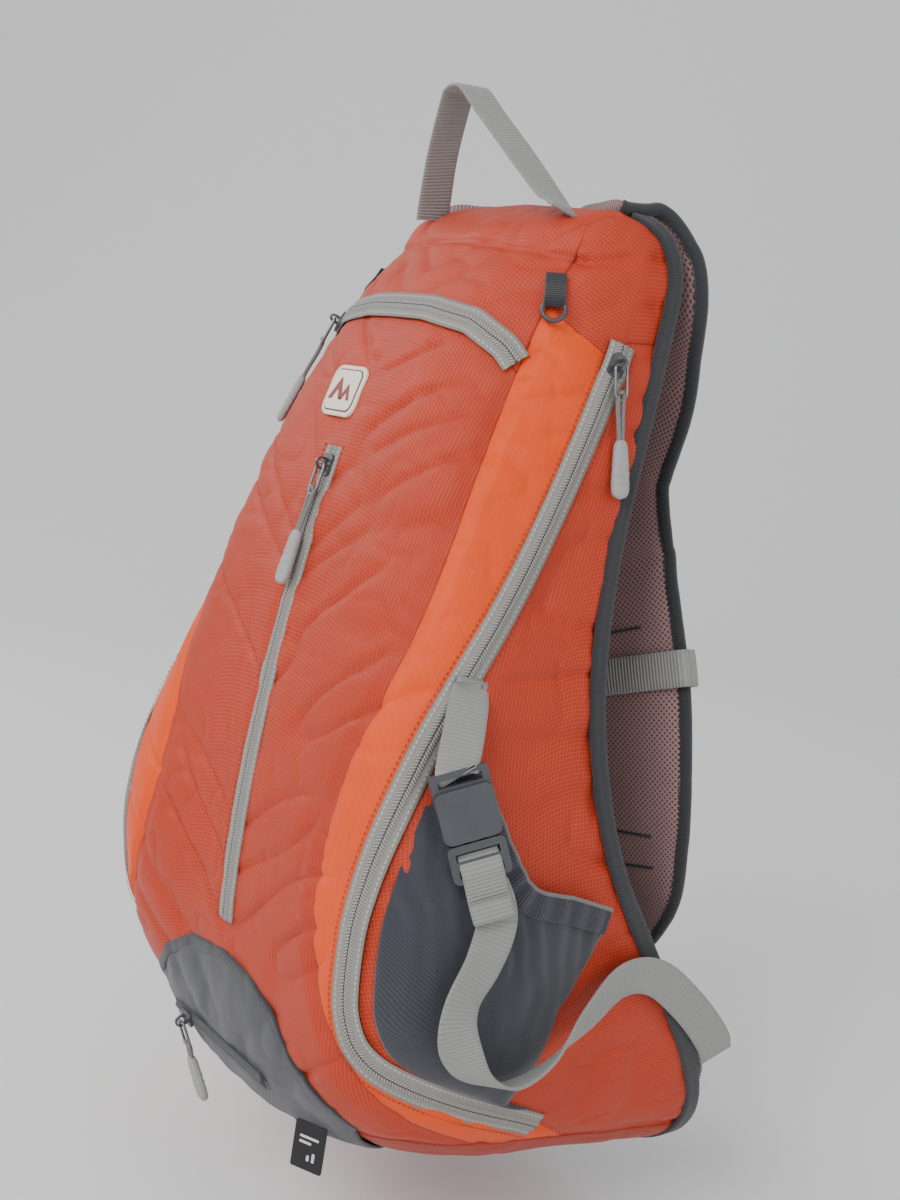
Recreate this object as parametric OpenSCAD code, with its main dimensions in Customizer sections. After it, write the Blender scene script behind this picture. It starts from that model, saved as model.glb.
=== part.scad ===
// Travel daypack hung from its grab loop.
// Millimetres, +Z up, -Y is the front face, +X is the viewer's right.
// The origin is the hang point: the inside of the top of the grab loop.

/* [Body] */
// Width of the pack at its widest station
body_w = 274; // [220:1:320]
// Height from the bottom fold to the top seam
body_h = 492; // [420:1:560]
// Thickness of one shell panel with its lining
shell_t = 1.6; // [1:0.1:3]

/* [Zippers] */
// Width of a closed zipper, both tapes together
tape_w = 15; // [10:0.5:22]
// Length of a pull from its hinge to the end of the grip
pull_len = 66; // [40:1:80]
// Width of a moulded grip
grip_w = 10.5; // [8:0.5:14]

/* [Webbing] */
// Width of the strap webbing
web_w = 20; // [15:1:30]
// Thickness of the strap webbing
web_t = 1.6; // [1:0.1:2.5]
// Width of the grab loop webbing
loop_w = 20; // [15:1:30]

/* [Buckles] */
// Outer width of a side release buckle
buckle_w = 28; // [24:1:36]
// Outer thickness of a side release buckle
buckle_t = 9; // [7:0.5:12]

/* [Shoulder straps] */
// Thickness of a padded shoulder strap
pad_t = 8; // [5:0.5:14]
// Running gap between a sternum band and the strap inside it
band_gap = 1.8; // [1.2:0.1:2.6]

/* [Rings] */
// Bore of an accessory ring
ring_bore = 9.6; // [7:0.2:14]
// Wire diameter of an accessory ring
ring_wire = 2.4; // [1.6:0.1:4]

/* [Hidden] */
$fn = 24;
hang = [-12, -40, 529];
kx = body_w / 274;
kz = body_h / 492;

// Body stations from bottom to top:
// height, half width, back edge y, front y, corner exponent, floor tilt
rows = [
  [-24, 70, 34, -70, 3, 10],
  [-18, 104, 56, -120, 4, 12],
  [2, 124, 64, -144, 5, 14],
  [34, 134, 56, -156, 7, 12],
  [88, 137, 20, -158, 8, 6],
  [150, 134, -16, -153, 8, 2],
  [225, 122, -26, -141, 6, 0],
  [300, 110, -14, -123, 5, 0],
  [365, 102, 5, -102, 3.4, 0],
  [410, 97, 17, -80, 2.9, 0],
  [440, 95, 22, -56, 2.7, 0],
  [460, 90, 14, -36, 3, 0],
  [468, 80, 0, -18, 2.5, 0]];

// Seam lines as [v, t]: v runs 0..1 up the body, t runs 0..1 from the
// front centre round to the back edge
gusset_line = [[0.15, 0.62], [0.193, 0.557], [0.24, 0.497], [0.277, 0.453],
  [0.31, 0.403], [0.343, 0.37], [0.385, 0.347], [0.418, 0.353], [0.458, 0.375],
  [0.503, 0.443], [0.557, 0.51], [0.595, 0.533], [0.64, 0.547], [0.7, 0.557],
  [0.772, 0.56]];
zip_line = [[0.15, 0.76], [0.2, 0.7], [0.223, 0.63], [0.25, 0.563],
  [0.27, 0.51], [0.283, 0.475], [0.317, 0.45], [0.355, 0.45], [0.388, 0.455],
  [0.423, 0.475], [0.452, 0.505], [0.488, 0.553], [0.518, 0.607],
  [0.548, 0.67], [0.578, 0.723], [0.615, 0.77], [0.66, 0.807], [0.717, 0.84]];
pocket_line = [[0.225, 0.645], [0.247, 0.67], [0.315, 0.763], [0.362, 0.88],
  [0.385, 0.93], [0.397, 0.85], [0.405, 0.757], [0.422, 0.72], [0.46, 0.67],
  [0.49, 0.61]];
arc_line = [[0, 0.757], [0.17, 0.756], [0.37, 0.745], [0.5, 0.722],
  [0.557, 0.704]];

function cat(a, b, c, d, f) =
  0.5 * (2 * b + (c - a) * f + (2 * a - 5 * b + 4 * c - d) * f * f
  + (3 * b - a - 3 * c + d) * f * f * f);
function through(p, u) =
  let (n = len(p) - 1, x = min(max(u, 0), 1) * n, i = min(floor(x), n - 1))
  cat(p[max(i - 1, 0)], p[i], p[i + 1], p[min(i + 2, n)], x - i);
function unit(a) = a / norm(a);
function clamp(x) = min(max(x, 0), 1);
function mix(a, b, f) = a + (b - a) * f;
function mir(p) = [-p.x, p.y, p.z];

// Point of the body surface
function raw(t, v) =
  let (s = through(rows, v), a = abs(t) * 90, sn = sin(a), cs = max(cos(a), 0),
    r = pow(pow(sn, s[4]) + pow(cs, s[4]), -1 / s[4]),
    y = s[2] - (s[2] - s[3]) * r * cs)
  [kx * sign(t) * s[1] * r * sn, y, kz * (s[0] - s[5] * (y + 60) / 100)];
// Outward normal of the body surface
function nrm(t, v) =
  let (e = 0.004,
    dt = raw(min(t + e, 1), v) - raw(max(t - e, -1), v),
    dv = raw(t, min(v + e, 1)) - raw(t, max(v - e, 0)))
  unit(cross(dt, dv));
function surf(t, v, o = 0) = raw(t, v) + o * nrm(t, v);
// Back panel point: s runs -1..1 across, seen from behind
function back(s, v, o = 0) =
  let (p = through(rows, v))
  [-kx * s * p[1], p[2] + o, kz * (p[0] - p[5] * (p[2] + 60) / 100)];

// Closed solid between two point grids of the same size
module skin(a, b) {
  n = len(a);
  m = len(a[0]);
  o = n * m;
  pts = [for (r = a) each r, for (r = b) each r];
  faces = [
    for (i = [0:n - 2], j = [0:m - 2]) let (k = i * m + j)
      each [[k, k + m, k + m + 1], [k, k + m + 1, k + 1],
        [o + k, o + k + m + 1, o + k + m], [o + k, o + k + 1, o + k + m + 1]],
    for (i = [0:n - 2]) let (k = i * m, q = k + m - 1)
      each [[k + m, k, o + k], [k + m, o + k, o + k + m],
        [q, q + m, o + q + m], [q, o + q + m, o + q]],
    for (j = [0:m - 2]) let (q = (n - 1) * m + j)
      each [[j, j + 1, o + j + 1], [j, o + j + 1, o + j],
        [q + 1, q, o + q], [q + 1, o + q, o + q + 1]]];
  polyhedron(points = pts, faces = faces, convexity = 6);
}

// Shell piece: f(s, r) gives [t, v], g(s, r) gives the outer offset
module shell(f, ns, nr, th = shell_t, g = function(s, r) 0) {
  q = [for (i = [0:nr]) [for (j = [0:ns]) f(j / ns, i / nr)]];
  h = [for (i = [0:nr]) [for (j = [0:ns]) g(j / ns, i / nr)]];
  skin([for (i = [0:nr]) [for (j = [0:ns]) surf(q[i][j][0], q[i][j][1], h[i][j])]],
    [for (i = [0:nr]) [for (j = [0:ns])
      surf(q[i][j][0], q[i][j][1], h[i][j] - th)]]);
}

function tangent(p, i) = unit(p[min(i + 1, len(p) - 1)] - p[max(i - 1, 0)]);
// Flat strip: p centre points, l width directions, w widths
module ribbon(p, l, w, th) {
  k = len(p) - 1;
  n = [for (i = [0:k]) unit(cross(l[i], tangent(p, i)))];
  d = [for (i = [0:k]) unit(cross(tangent(p, i), n[i]))];
  skin([for (i = [0:k]) [for (j = [-1, 1]) p[i] + n[i] * th / 2 + d[i] * j * w[i] / 2]],
    [for (i = [0:k]) [for (j = [-1, 1]) p[i] - n[i] * th / 2 + d[i] * j * w[i] / 2]]);
}
// Strip lying on the body: q is a list of [t, v], o the height of its underside
module tape(q, w, th, o) {
  p = [for (a = q) surf(a[0], a[1], o + th / 2)];
  n = [for (a = q) nrm(a[0], a[1])];
  ribbon(p, [for (i = [0:len(q) - 1]) cross(tangent(p, i), n[i])],
    [for (a = q) w], th);
}
// Strip along a smooth path with one width
module strap(p, l, w, th, k) {
  ribbon([for (i = [0:k]) through(p, i / k)],
    [for (i = [0:k]) unit(through(l, i / k))], [for (i = [0:k]) w], th);
}

// Put children at p with local Y along y and local Z along z
module place(p, y, z) {
  zz = unit(z);
  xx = unit(cross(y, zz));
  yy = cross(zz, xx);
  translate(p)
    rotate([atan2(yy.z, zz.z), asin(-xx.z), atan2(xx.y, xx.x)])
      children();
}
module home() {
  translate(-hang)
    children();
}
module left_side() {
  mirror([1, 0, 0])
    children();
}

module rounded(w, l, r) {
  square([w - 2 * r, l], center = true);
  square([w, l - 2 * r], center = true);
  for (x = [-1, 1], y = [-1, 1])
    translate([x * (w / 2 - r), y * (l / 2 - r)])
      circle(r);
}
module bar(w, l, h, r) {
  linear_extrude(h)
    rounded(w, l, r);
}

// ---- shell panels ----
v_low = 0.15;
module front_panel() {
  color("#b5452c")
    home()
      shell(function(s, r)
        let (u = 2 * s - 1, v = mix(v_low, lookup(abs(u) * 0.557, arc_line), r))
        [u * lookup(v, gusset_line), v], 14, 18);
}
top_cols = [-1, -0.93, -0.86, -0.84, -0.7, -0.562, -0.555, -0.5, -0.37, -0.25, -0.12,
  0, 0.12, 0.25, 0.37, 0.5, 0.555, 0.562, 0.7, 0.84, 0.86, 0.93, 1];
top_line = [[0, 0.757], [0.17, 0.756], [0.37, 0.745], [0.5, 0.722], [0.555, 0.704],
  [0.562, 0.772], [0.7, 0.745], [0.84, 0.718], [0.86, 0.74], [1, 0.74]];
module top_panel() {
  crest = [0, -4, kz * 469];
  ring = function(k, o)
    [for (t = top_cols) mix(surf(t, 1, o), crest + [0, 0, o], k)];
  side = function(r, o)
    [for (t = top_cols) surf(t, mix(lookup(abs(t), top_line), 1, r), o)];
  color("#b5452c")
    home()
      skin([for (r = [0:7]) side(r / 7, 0), ring(0.5, 0), ring(0.96, 0)],
        [for (r = [0:7]) side(r / 7, -shell_t), ring(0.5, -shell_t),
          ring(0.96, -shell_t)]);
}
module gusset_r() {
  color("#ee6a1e")
    home()
      shell(function(s, r)
        let (v = mix(v_low, mix(0.772, 0.717, s), r))
        [mix(lookup(v, gusset_line), lookup(v, zip_line), s), v], 4, 22);
}
module gusset_l() {
  color("#ee6a1e")
    home()
      shell(function(s, r)
        let (v = mix(v_low, mix(0.717, 0.772, s), r))
        [-mix(lookup(v, zip_line), lookup(v, gusset_line), s), v], 4, 22);
}
module side_panel_r() {
  color("#b5452c")
    home()
      shell(function(s, r)
        let (v = mix(v_low, 0.74, r))
        [mix(lookup(v, zip_line), 1, s), v], 6, 22);
}
module side_panel_l() {
  color("#b5452c")
    home()
      shell(function(s, r)
        let (v = mix(v_low, 0.74, r))
        [-mix(1, lookup(v, zip_line), s), v], 6, 22);
}
module bottom_panel() {
  floor_mid = back(0, 0);
  cols = 20;
  ring = function(k, o)
    [for (j = [0:cols]) mix(surf(2 * j / cols - 1, 0), floor_mid, k) + [0, 0, -o]];
  side = function(v, o)
    [for (j = [0:cols]) surf(2 * j / cols - 1, v, o)];
  color("#a8402a")
    home()
      skin([ring(0.96, 0), ring(0.5, 0), for (i = [0:5]) side(v_low * i / 5, 0)],
        [ring(0.96, -shell_t), ring(0.5, -shell_t),
          for (i = [0:5]) side(v_low * i / 5, -shell_t)]);
}
module back_panel() {
  grid = function(o)
    [for (i = [0:20]) [for (s = [-0.99, -0.5, 0, 0.5, 0.99]) back(s, i / 20, o)]];
  color("#3c3d40")
    home()
      skin(grid(0), grid(-shell_t));
}
module back_binding() {
  vs = [for (i = [0:16]) 1 - i / 16 * 0.97];
  right = [for (v = vs) back(-1, v, 0) + [0.8, 1, 0]];
  foot = [for (s = [-0.8, -0.4, 0, 0.4, 0.8]) back(s, 0, 0) + [0, 1, -1.4]];
  left = [for (i = [len(vs) - 1:-1:0]) back(1, vs[i], 0) + [-0.8, 1, 0]];
  p = concat(right, foot, left);
  color("#3b3d40")
    home()
      ribbon(p, [for (i = [0:len(p) - 1]) [0, 1, 0]], [for (a = p) 9], 2.4);
}
module back_pads() {
  cushion = function(x0, x1, z0, z1, o)
    [for (i = [0:8]) [for (j = [0:3])
      let (z = mix(z0, z1, i / 8), v = v_of(z), e = i == 0 || i == 8 || j == 0 || j == 3,
        q = back(0, v))
      [mix(x1, x0, j / 3), q.y + (o > 3 ? (e ? 4 : o) : o), z]]];
  color("#5a5657")
    home() {
      skin(cushion(16, 70, 205, 385, 9), cushion(16, 70, 205, 385, 2.4));
      skin(cushion(-70, -16, 205, 385, 9), cushion(-70, -16, 205, 385, 2.4));
      skin(cushion(-80, 80, 75, 175, 9), cushion(-80, 80, 75, 175, 2.4));
    }
}
// Body parameter of a height at the back panel
function v_of(z, a = 0, b = 1, k = 0) =
  let (m = (a + b) / 2)
  k > 12 ? m : (back(0, m).z < z ? v_of(z, m, b, k + 1) : v_of(z, a, m, k + 1));
module foam_sheet() {
  grid = function(o)
    [for (i = [4:18]) [for (s = [-0.86, 0, 0.86]) back(s, i / 20, o)]];
  color("#d9d6cc")
    home()
      skin(grid(-2.4), grid(-6));
}
module hydration_sleeve() {
  grid = function(o)
    [for (i = [5:14]) [for (s = [-0.8, 0, 0.8]) back(s, i / 20, o)]];
  color("#8f9396")
    home()
      skin(grid(-14), grid(-15));
}

// ---- zipper tapes ----
module arc_zip_tape() {
  color("#8d8b88")
    home()
      tape([for (i = [-10:10]) let (t = i * 0.0545) [t, lookup(abs(t), arc_line)]],
        tape_w, 1, 0.05);
}
module front_zip_tape() {
  color("#8d8b88")
    home()
      tape([for (i = [0:12]) [0, mix(0.335, 0.63, i / 12)]], tape_w, 1, 0.05);
}
side_path = [for (i = [0:26]) let (v = mix(0.2, 0.73, i / 26)) [lookup(v, zip_line), v]];
module side_zip_tape_r() {
  color("#8d8b88")
    home()
      tape(side_path, tape_w, 1, 0.05);
}
module side_zip_tape_l() {
  color("#8d8b88")
    home()
      left_side()
        tape(side_path, tape_w, 1, 0.05);
}

// ---- rain cover pocket under the front edge ----
rain_top = [[0, 0.295], [0.16, 0.287], [0.27, 0.262], [0.34, 0.225], [0.42, 0.19],
  [0.46, 0.15]];
rain_f = function(s, r)
  let (t = (2 * s - 1) * 0.44) [t, mix(0.02, lookup(abs(t), rain_top), r)];
rain_g = function(s, r) 2.4 + 9 * pow(sin(180 * s), 0.7) * pow(sin(180 * r), 0.8);
module rain_pocket() {
  color("#4d5259")
    home()
      shell(rain_f, 12, 7, 1.4, rain_g);
}
module rain_cover() {
  color("#44484d")
    home()
      shell(function(s, r) rain_f(mix(0.22, 0.78, s), mix(0.3, 0.72, r)), 10, 7, 2.6,
        function(s, r) 4 + 1.2 * sin(180 * s) * sin(180 * r));
}
rain_v = 0.2;
rain_off = 10.2;
module rain_zip_tape() {
  p = [for (i = [-6:6]) surf(i * 0.04, rain_v, rain_off + 0.6)];
  color("#33353a")
    home()
      ribbon(p, [for (i = [-6:6]) -cross(nrm(i * 0.04, rain_v), [1, 0, 0])],
        [for (a = p) 10], 0.9);
}
module side_label() {
  color("#1f2023")
    home()
      place(surf(0.36, 0.155, 11), [0.1, 0, 1], [0.5, -0.85, 0])
        translate([0, -7, 0])
          bar(18, 26, 1, 1);
}

// ---- side pockets ----
pocket_f = function(s, r)
  let (v = mix(0.225, 0.49, r), a = lookup(v, zip_line) + 0.045)
  [mix(a, max(lookup(v, pocket_line), a + 0.02), s), v];
pocket_g = function(s, r)
  let (v = mix(0.225, 0.49, r), hem = clamp((v - 0.35) / 0.045),
    seam = pow(sin(180 * clamp(s)), 0.7), open = sin(90 * clamp(s * 1.3)))
  1.5 + 8 * pow(max(sin(180 * clamp(r * 0.96)), 0), 0.6) * mix(seam, open, hem);
module pocket_sheet() {
  shell(pocket_f, 9, 13, 0.9, pocket_g);
}
hem_path = [[0.62, 0.478], [0.665, 0.458], [0.712, 0.425], [0.75, 0.405],
  [0.84, 0.396], [0.92, 0.386]];
module hem_band() {
  q = [for (i = [0:14]) through(hem_path, i / 14)];
  p = [for (i = [0:14]) surf(q[i][0], q[i][1],
    3.2 + 8 * pow(max(sin(180 * clamp((q[i][1] - 0.225) / 0.265 * 0.96)), 0), 0.6))];
  n = [for (a = q) nrm(a[0], a[1])];
  ribbon([for (i = [0:14]) p[i] + cross(n[i], tangent(p, i)) * -5],
    [for (i = [0:14]) cross(tangent(p, i), n[i])], [for (a = p) 12], 1.6);
}
module side_pocket_r() {
  color("#3a3e46")
    home()
      pocket_sheet();
}
module side_pocket_l() {
  color("#3a3e46")
    home()
      left_side()
        pocket_sheet();
}
module pocket_hem_r() {
  color("#34373f")
    home()
      hem_band();
}
module pocket_hem_l() {
  color("#34373f")
    home()
      left_side()
        hem_band();
}

module front_badge() {
  color("#e6dccb")
    home()
      place(surf(-0.06, 0.669, 0.1), [0, 0, 1], nrm(-0.06, 0.669))
        bar(32, 28, 1.8, 5);
}

// ---- grab loop ----
loop_pts = [[-58, -28, 467], [-53, -29, 474], [-42, -33, 497], [-25, -38, 524],
  [-18, -39.5, 529], [-12, -40, 529.8], [-5, -40, 528], [8, -37, 515], [28, -31, 495],
  [48, -25, 476], [56, -22, 467]];
loop_dir = [[0, -1, 0.3], [0, -1, 0.2], [0, -1, 0], [0, -1, 0], [0, -1, 0], [0, -1, 0],
  [0, -1, 0], [0, -1, 0], [0, -1, 0], [0, -1, 0.2], [0, -1, 0.4]];
module grab_loop() {
  color("#a9a7a3")
    home()
      strap(loop_pts, loop_dir, loop_w, web_t, 36);
}

// ---- accessory rings on their tabs ----
tab_p = surf(0.565, 0.785, 0.3);
tab_n = nrm(0.565, 0.785);
// The bore is cut 0.3 mm into the wire, so it has a short straight wall
ring_r0 = (ring_bore + ring_wire) / 2 - 0.3;
module ring_tab() {
  place(tab_p, [0, 0, 1], tab_n) {
    translate([0, 1, 0])
      bar(11, 16, 1.2, 1);
    translate([0, -4.4, 3.2])
      rotate([0, 90, 0])
        difference() {
          cylinder(d = 6.4, h = 4, center = true);
          cylinder(d = ring_wire + 1.2, h = 12, center = true);
        }
  }
}
module ring_tabs() {
  color("#3f4145")
    home() {
      ring_tab();
      left_side()
        ring_tab();
    }
}
module ring_shape() {
  place(tab_p, [0, 0, 1], tab_n)
    translate([0, -4.4 - ring_r0, 3.2])
      difference() {
        rotate_extrude($fn = 48)
          translate([ring_r0, 0])
            circle(d = ring_wire, $fn = 16);
        cylinder(d = ring_bore, h = 2 * ring_wire, center = true, $fn = 48);
      }
}
module ring_r() {
  color("#2f3134")
    home()
      ring_shape();
}
module ring_l() {
  color("#2f3134")
    home()
      left_side()
        ring_shape();
}

// ---- zipper sliders and pulls ----
// Local axes: Y up the track, Z away from the pack, origin on the tape
module slider_shape(turn = 0) {
  translate([0, 0, 0.5])
    bar(9, 12, 1.9, 2.4);
  rotate([0, 0, turn])
    translate([-0.6, -3.5, 2.3])
    rotate([90, 0, 90])
      linear_extrude(1.2)
        difference() {
          union() {
            translate([0.2, 0])
              square([6.6, 3]);
            translate([3.5, 2.7])
              circle(3.3, $fn = 24);
          }
          translate([3.5, 2.7])
            circle(2.3, $fn = 24);
        }
}
// Pull with its hinge at the origin, hanging along -Y, lying just off the tape
module pull_shape(k = 1) {
  link = 17;
  half = 3.6;
  rotate([0, 90, 0])
    cylinder(d = 1.5, h = 2 * half, center = true, $fn = 16);
  for (x = [-1, 1])
    translate([x * half, 0, 0])
      rotate([90, 0, 0])
        cylinder(d = 1.5, h = link - half, $fn = 16);
  translate([0, half - link, 0])
    rotate([0, 0, 180])
      rotate_extrude(angle = 180, $fn = 24)
        translate([half, 0])
          circle(d = 1.5, $fn = 16);
  translate([0, -link + 0.6, 0])
    rotate([90, 0, 0])
      cylinder(d = 2.8, h = pull_len * k - 30 - link + 2, $fn = 16);
  translate([0, -pull_len * k + 15, -2])
    bar(grip_w, 30, 4.4, 2.5);
}
module slider_at(p, y, z, turn = 0) {
  place(p, y, z)
    slider_shape(turn);
}
// The pull hinges in the bail 5 mm above the tape
module pull_at(p, y, z, k = 1, lean = [0, 0, 0]) {
  place(p + unit(z) * 5, y, z + lean)
    pull_shape(k);
}

front_v = 0.618;
front_y = raw(0, 0.628) - raw(0, 0.608);
front_z = nrm(0, front_v);
front_p = surf(0, front_v, 1.3);
side_v = 0.712;
side_t = lookup(side_v, zip_line);
side_y = raw(lookup(0.717, zip_line), 0.717) - raw(lookup(0.69, zip_line), 0.69);
side_z = nrm(side_t, side_v);
side_p = surf(side_t, side_v, 1.3);
arc_t = -0.45;
arc_v = lookup(-arc_t, arc_line);
arc_y = raw(-0.55, lookup(0.55, arc_line)) - raw(-0.45, lookup(0.45, arc_line));
arc_z = nrm(arc_t, arc_v);
arc_p = surf(arc_t, arc_v, 1.8);
rain_p = surf(-0.17, rain_v, rain_off + 1.4);
rain_z = nrm(-0.17, rain_v);
down = [0, 0, 1];

module arc_slider() {
  color("#55575b")
    home()
      slider_at(arc_p, arc_y, arc_z);
}
module arc_pull() {
  color("#6f6f70")
    home()
      pull_at(arc_p, down, arc_z, 1, [0, -0.12, 0]);
}
module front_slider() {
  color("#55575b")
    home()
      slider_at(front_p, front_y, front_z);
}
module front_pull() {
  color("#8b8b8a")
    home()
      pull_at(front_p, front_y, front_z);
}
module side_slider_r() {
  color("#55575b")
    home()
      slider_at(side_p, side_y, side_z);
}
module side_slider_l() {
  color("#55575b")
    home()
      slider_at(mir(side_p), mir(side_y), mir(side_z));
}
module side_pull_r() {
  color("#8b8b8a")
    home()
      pull_at(side_p, down, side_z);
}
module side_pull_l() {
  color("#8b8b8a")
    home()
      pull_at(mir(side_p), down, mir(side_z));
}
module rain_slider() {
  color("#2f3134")
    home()
      slider_at(rain_p, [-1, 0, 0], rain_z, 90);
}
module rain_pull() {
  color("#3a3c40")
    home()
      pull_at(rain_p, down, rain_z, 0.8, [0, -0.25, 0]);
}

// ---- compression buckles ----
// Local axes: Y from the ladder end up to the fixed end, Z away from the pack
buckle_p = [144, -114, 186];
buckle_y = [-0.2, -0.24, 0.95];
buckle_z = [0.9, -0.42, 0.08];
module female_shape() {
  difference() {
    union() {
      translate([0, 0, -buckle_t / 2])
        bar(buckle_w, 25, buckle_t, 4);
      translate([0, 14, -2])
        bar(buckle_w, 13, 4, 2);
    }
    translate([-10.2, -20, -3])
      cube([20.4, 29, 6]);
    translate([-buckle_w, -6, -2.6])
      cube([2 * buckle_w, 9, 5.2]);
    translate([-(web_w + 1) / 2, 14, -8])
      cube([web_w + 1, 3.4, 16]);
  }
}
module male_shape() {
  // prongs enter the female half
  translate([-2, -14, -2])
    cube([4, 20, 4]);
  for (x = [-1, 1]) {
    translate([x * 7.6 - 1.9, -14, -2])
      cube([3.8, 18, 4]);
    translate([x * 7.4 - 2.4, -5, -2])
      cube([4.8, 6.4, 4]);
  }
  difference() {
    translate([0, -22.6, -3.5])
      bar(buckle_w, 18, 7, 3);
    translate([-(web_w + 1) / 2, -21, -8])
      cube([web_w + 1, 3.6, 16]);
    translate([-(web_w + 1) / 2, -29, -8])
      cube([web_w + 1, 3.6, 16]);
  }
}
module buckle_at() {
  place(buckle_p, buckle_y, buckle_z)
    children();
}
module stub() {
  // loop of webbing through the top bar, sewn at the zipper seam
  p = buckle_p + unit(buckle_y) * 20.3;
  q = surf(0.622, 0.51, 2.4);
  strap([q + [-1, 6, 7], q, mix(q, p, 0.5) + [1, -0.5, 0], p],
    [[-0.3, 0.9, 0.2], [-0.3, 0.9, 0.2], [-0.35, 0.9, 0.15], [-0.38, 0.9, 0.14]],
    web_w, 2, 8);
}
module buckle_stubs() {
  color("#a9a7a3")
    home() {
      stub();
      left_side()
        stub();
    }
}
module buckle_female_r() {
  color("#35373b")
    home()
      buckle_at()
        female_shape();
}
module buckle_female_l() {
  color("#35373b")
    home()
      left_side()
        buckle_at()
          female_shape();
}
module buckle_male_r() {
  color("#35373b")
    home()
      buckle_at()
        male_shape();
}
module buckle_male_l() {
  color("#35373b")
    home()
      left_side()
        buckle_at()
          male_shape();
}
// Slack webbing from below the ladder round to the lower back corner
comp_pts = [[154, -99, 133], [156, -104, 118], [157, -116, 100], [158, -118, 80],
  [157, -106, 60], [155, -84, 50], [154, -60, 56], [152, -36, 74], [148, -12, 88],
  [145, 14, 84], [143, 42, 62], [142, 62, 40], [138, 70, 28]];
comp_dir = [[-0.38, 0.9, 0.15], [-0.3, 0.93, 0.2], [-0.1, 0.98, 0.1], [0.3, 0.95, 0],
  [0.8, 0.5, 0.2], [0.9, 0, 0.3], [0.8, -0.2, 0.5], [0.3, -0.3, 0.8], [0.1, -0.2, 1],
  [0.1, 0.1, 1], [0.2, 0.5, 0.8], [0.3, 0.6, 0.7], [0.3, 0.6, 0.7]];
module comp_strap() {
  strap(comp_pts, comp_dir, web_w, web_t, 40);
}
module compression_strap_r() {
  color("#b3b1ac")
    home()
      comp_strap();
}
module compression_strap_l() {
  color("#b3b1ac")
    home()
      left_side()
        comp_strap();
}

// ---- shoulder straps ----
pad_c = [[52, 4, 470], [57, 22, 466], [64, 34, 448], [66, 38, 430], [58, 42, 403],
  [53, 46, 377], [42, 48, 344], [40, 47, 322], [48, 45, 290], [57, 42, 270],
  [75, 41, 219], [82, 43, 177], [85, 46, 138], [87, 50, 109], [80, 54, 80]];
pad_l = [[1, 0, 0], [1, 0, 0], [1, 0.05, 0], [1, 0.1, 0], [1, 0.2, 0],
  [0.98, 0.22, 0], [0.98, 0.22, 0], [0.97, 0.24, 0], [0.96, 0.28, 0], [0.95, 0.3, 0],
  [0.94, 0.33, 0], [0.94, 0.33, 0], [0.94, 0.33, 0], [0.94, 0.33, 0], [0.94, 0.33, 0]];
pad_w = [60, 63, 65, 66, 66, 64, 62, 62, 64, 65, 66, 64, 60, 48, 28];
pad_n = 28;
pad_p = [for (i = [0:pad_n]) through(pad_c, i / pad_n)];
pad_d = [for (i = [0:pad_n]) unit(through(pad_l, i / pad_n))];
pad_ww = [for (i = [0:pad_n]) through([for (w = pad_w) [w]], i / pad_n)[0]];
module pad_shape() {
  ribbon(pad_p, pad_d, [for (w = pad_ww) w - 6], pad_t);
}
// Binding tape folded over both long edges of the pad
module pad_edge() {
  for (e = [-1, 1]) {
    n = [for (i = [0:pad_n]) unit(cross(pad_d[i], tangent(pad_p, i)))];
    d = [for (i = [0:pad_n]) unit(cross(tangent(pad_p, i), n[i]))];
    ribbon([for (i = [0:pad_n]) pad_p[i] + d[i] * e * (pad_ww[i] / 2 - 1.4)], pad_d,
      [for (w = pad_ww) 3], pad_t - 2);
  }
}
module shoulder_pad_r() {
  color("#8f7f80")
    home()
      pad_shape();
}
module shoulder_pad_l() {
  color("#8f7f80")
    home()
      left_side()
        pad_shape();
}
module pad_binding_r() {
  color("#3b3d40")
    home()
      pad_edge();
}
module pad_binding_l() {
  color("#3b3d40")
    home()
      left_side()
        pad_edge();
}
lock_p = [79, 56, 64];
lock_y = [-0.1, -0.1, 1];
lock_z = [-0.3, 1, 0.1];
module ladder_lock() {
  place(lock_p, lock_y, lock_z)
    difference() {
      translate([0, 0, -2])
        bar(27, 24, 4, 3);
      for (y = [-8.4, -1.6, 5.4])
        translate([-(web_w + 1) / 2, y, -5])
          cube([web_w + 1, 3.4, 10]);
    }
}
module ladder_locks() {
  color("#35373b")
    home() {
      ladder_lock();
      left_side()
        ladder_lock();
    }
}
low_pts = [[81, 57, 48], [92, 62, 40], [108, 70, 24], [116, 72, 12], [118, 68, 2]];
low_dir = [[0.95, 0.3, 0.1], [0.9, 0.25, 0.3], [0.85, 0.2, 0.4], [0.8, 0.2, 0.5],
  [0.8, 0.2, 0.5]];
module lower_webbings() {
  color("#a9a7a3")
    home() {
      strap(low_pts, low_dir, web_w, web_t, 12);
      left_side()
        strap(low_pts, low_dir, web_w, web_t, 12);
    }
}

// ---- sternum bands: each slides on its shoulder strap ----
band_p = [72.6, 41, 226];
band_y = [-0.33, 0.02, 1];
band_z = [0.31, -0.94, 0.12];
tail_drop = 9;
module band_shape() {
  w = 66 + 2 * band_gap;
  t = pad_t + 2 * band_gap;
  place(band_p, band_y, band_z) {
    difference() {
      cube([w + 3, web_w, t + 3], center = true);
      cube([w, web_w + 1, t], center = true);
    }
  }
}
module sternum_band_r() {
  color("#a9a7a3")
    home()
      band_shape();
}
module sternum_band_l() {
  color("#a9a7a3")
    home()
      left_side()
        band_shape();
}
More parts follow.
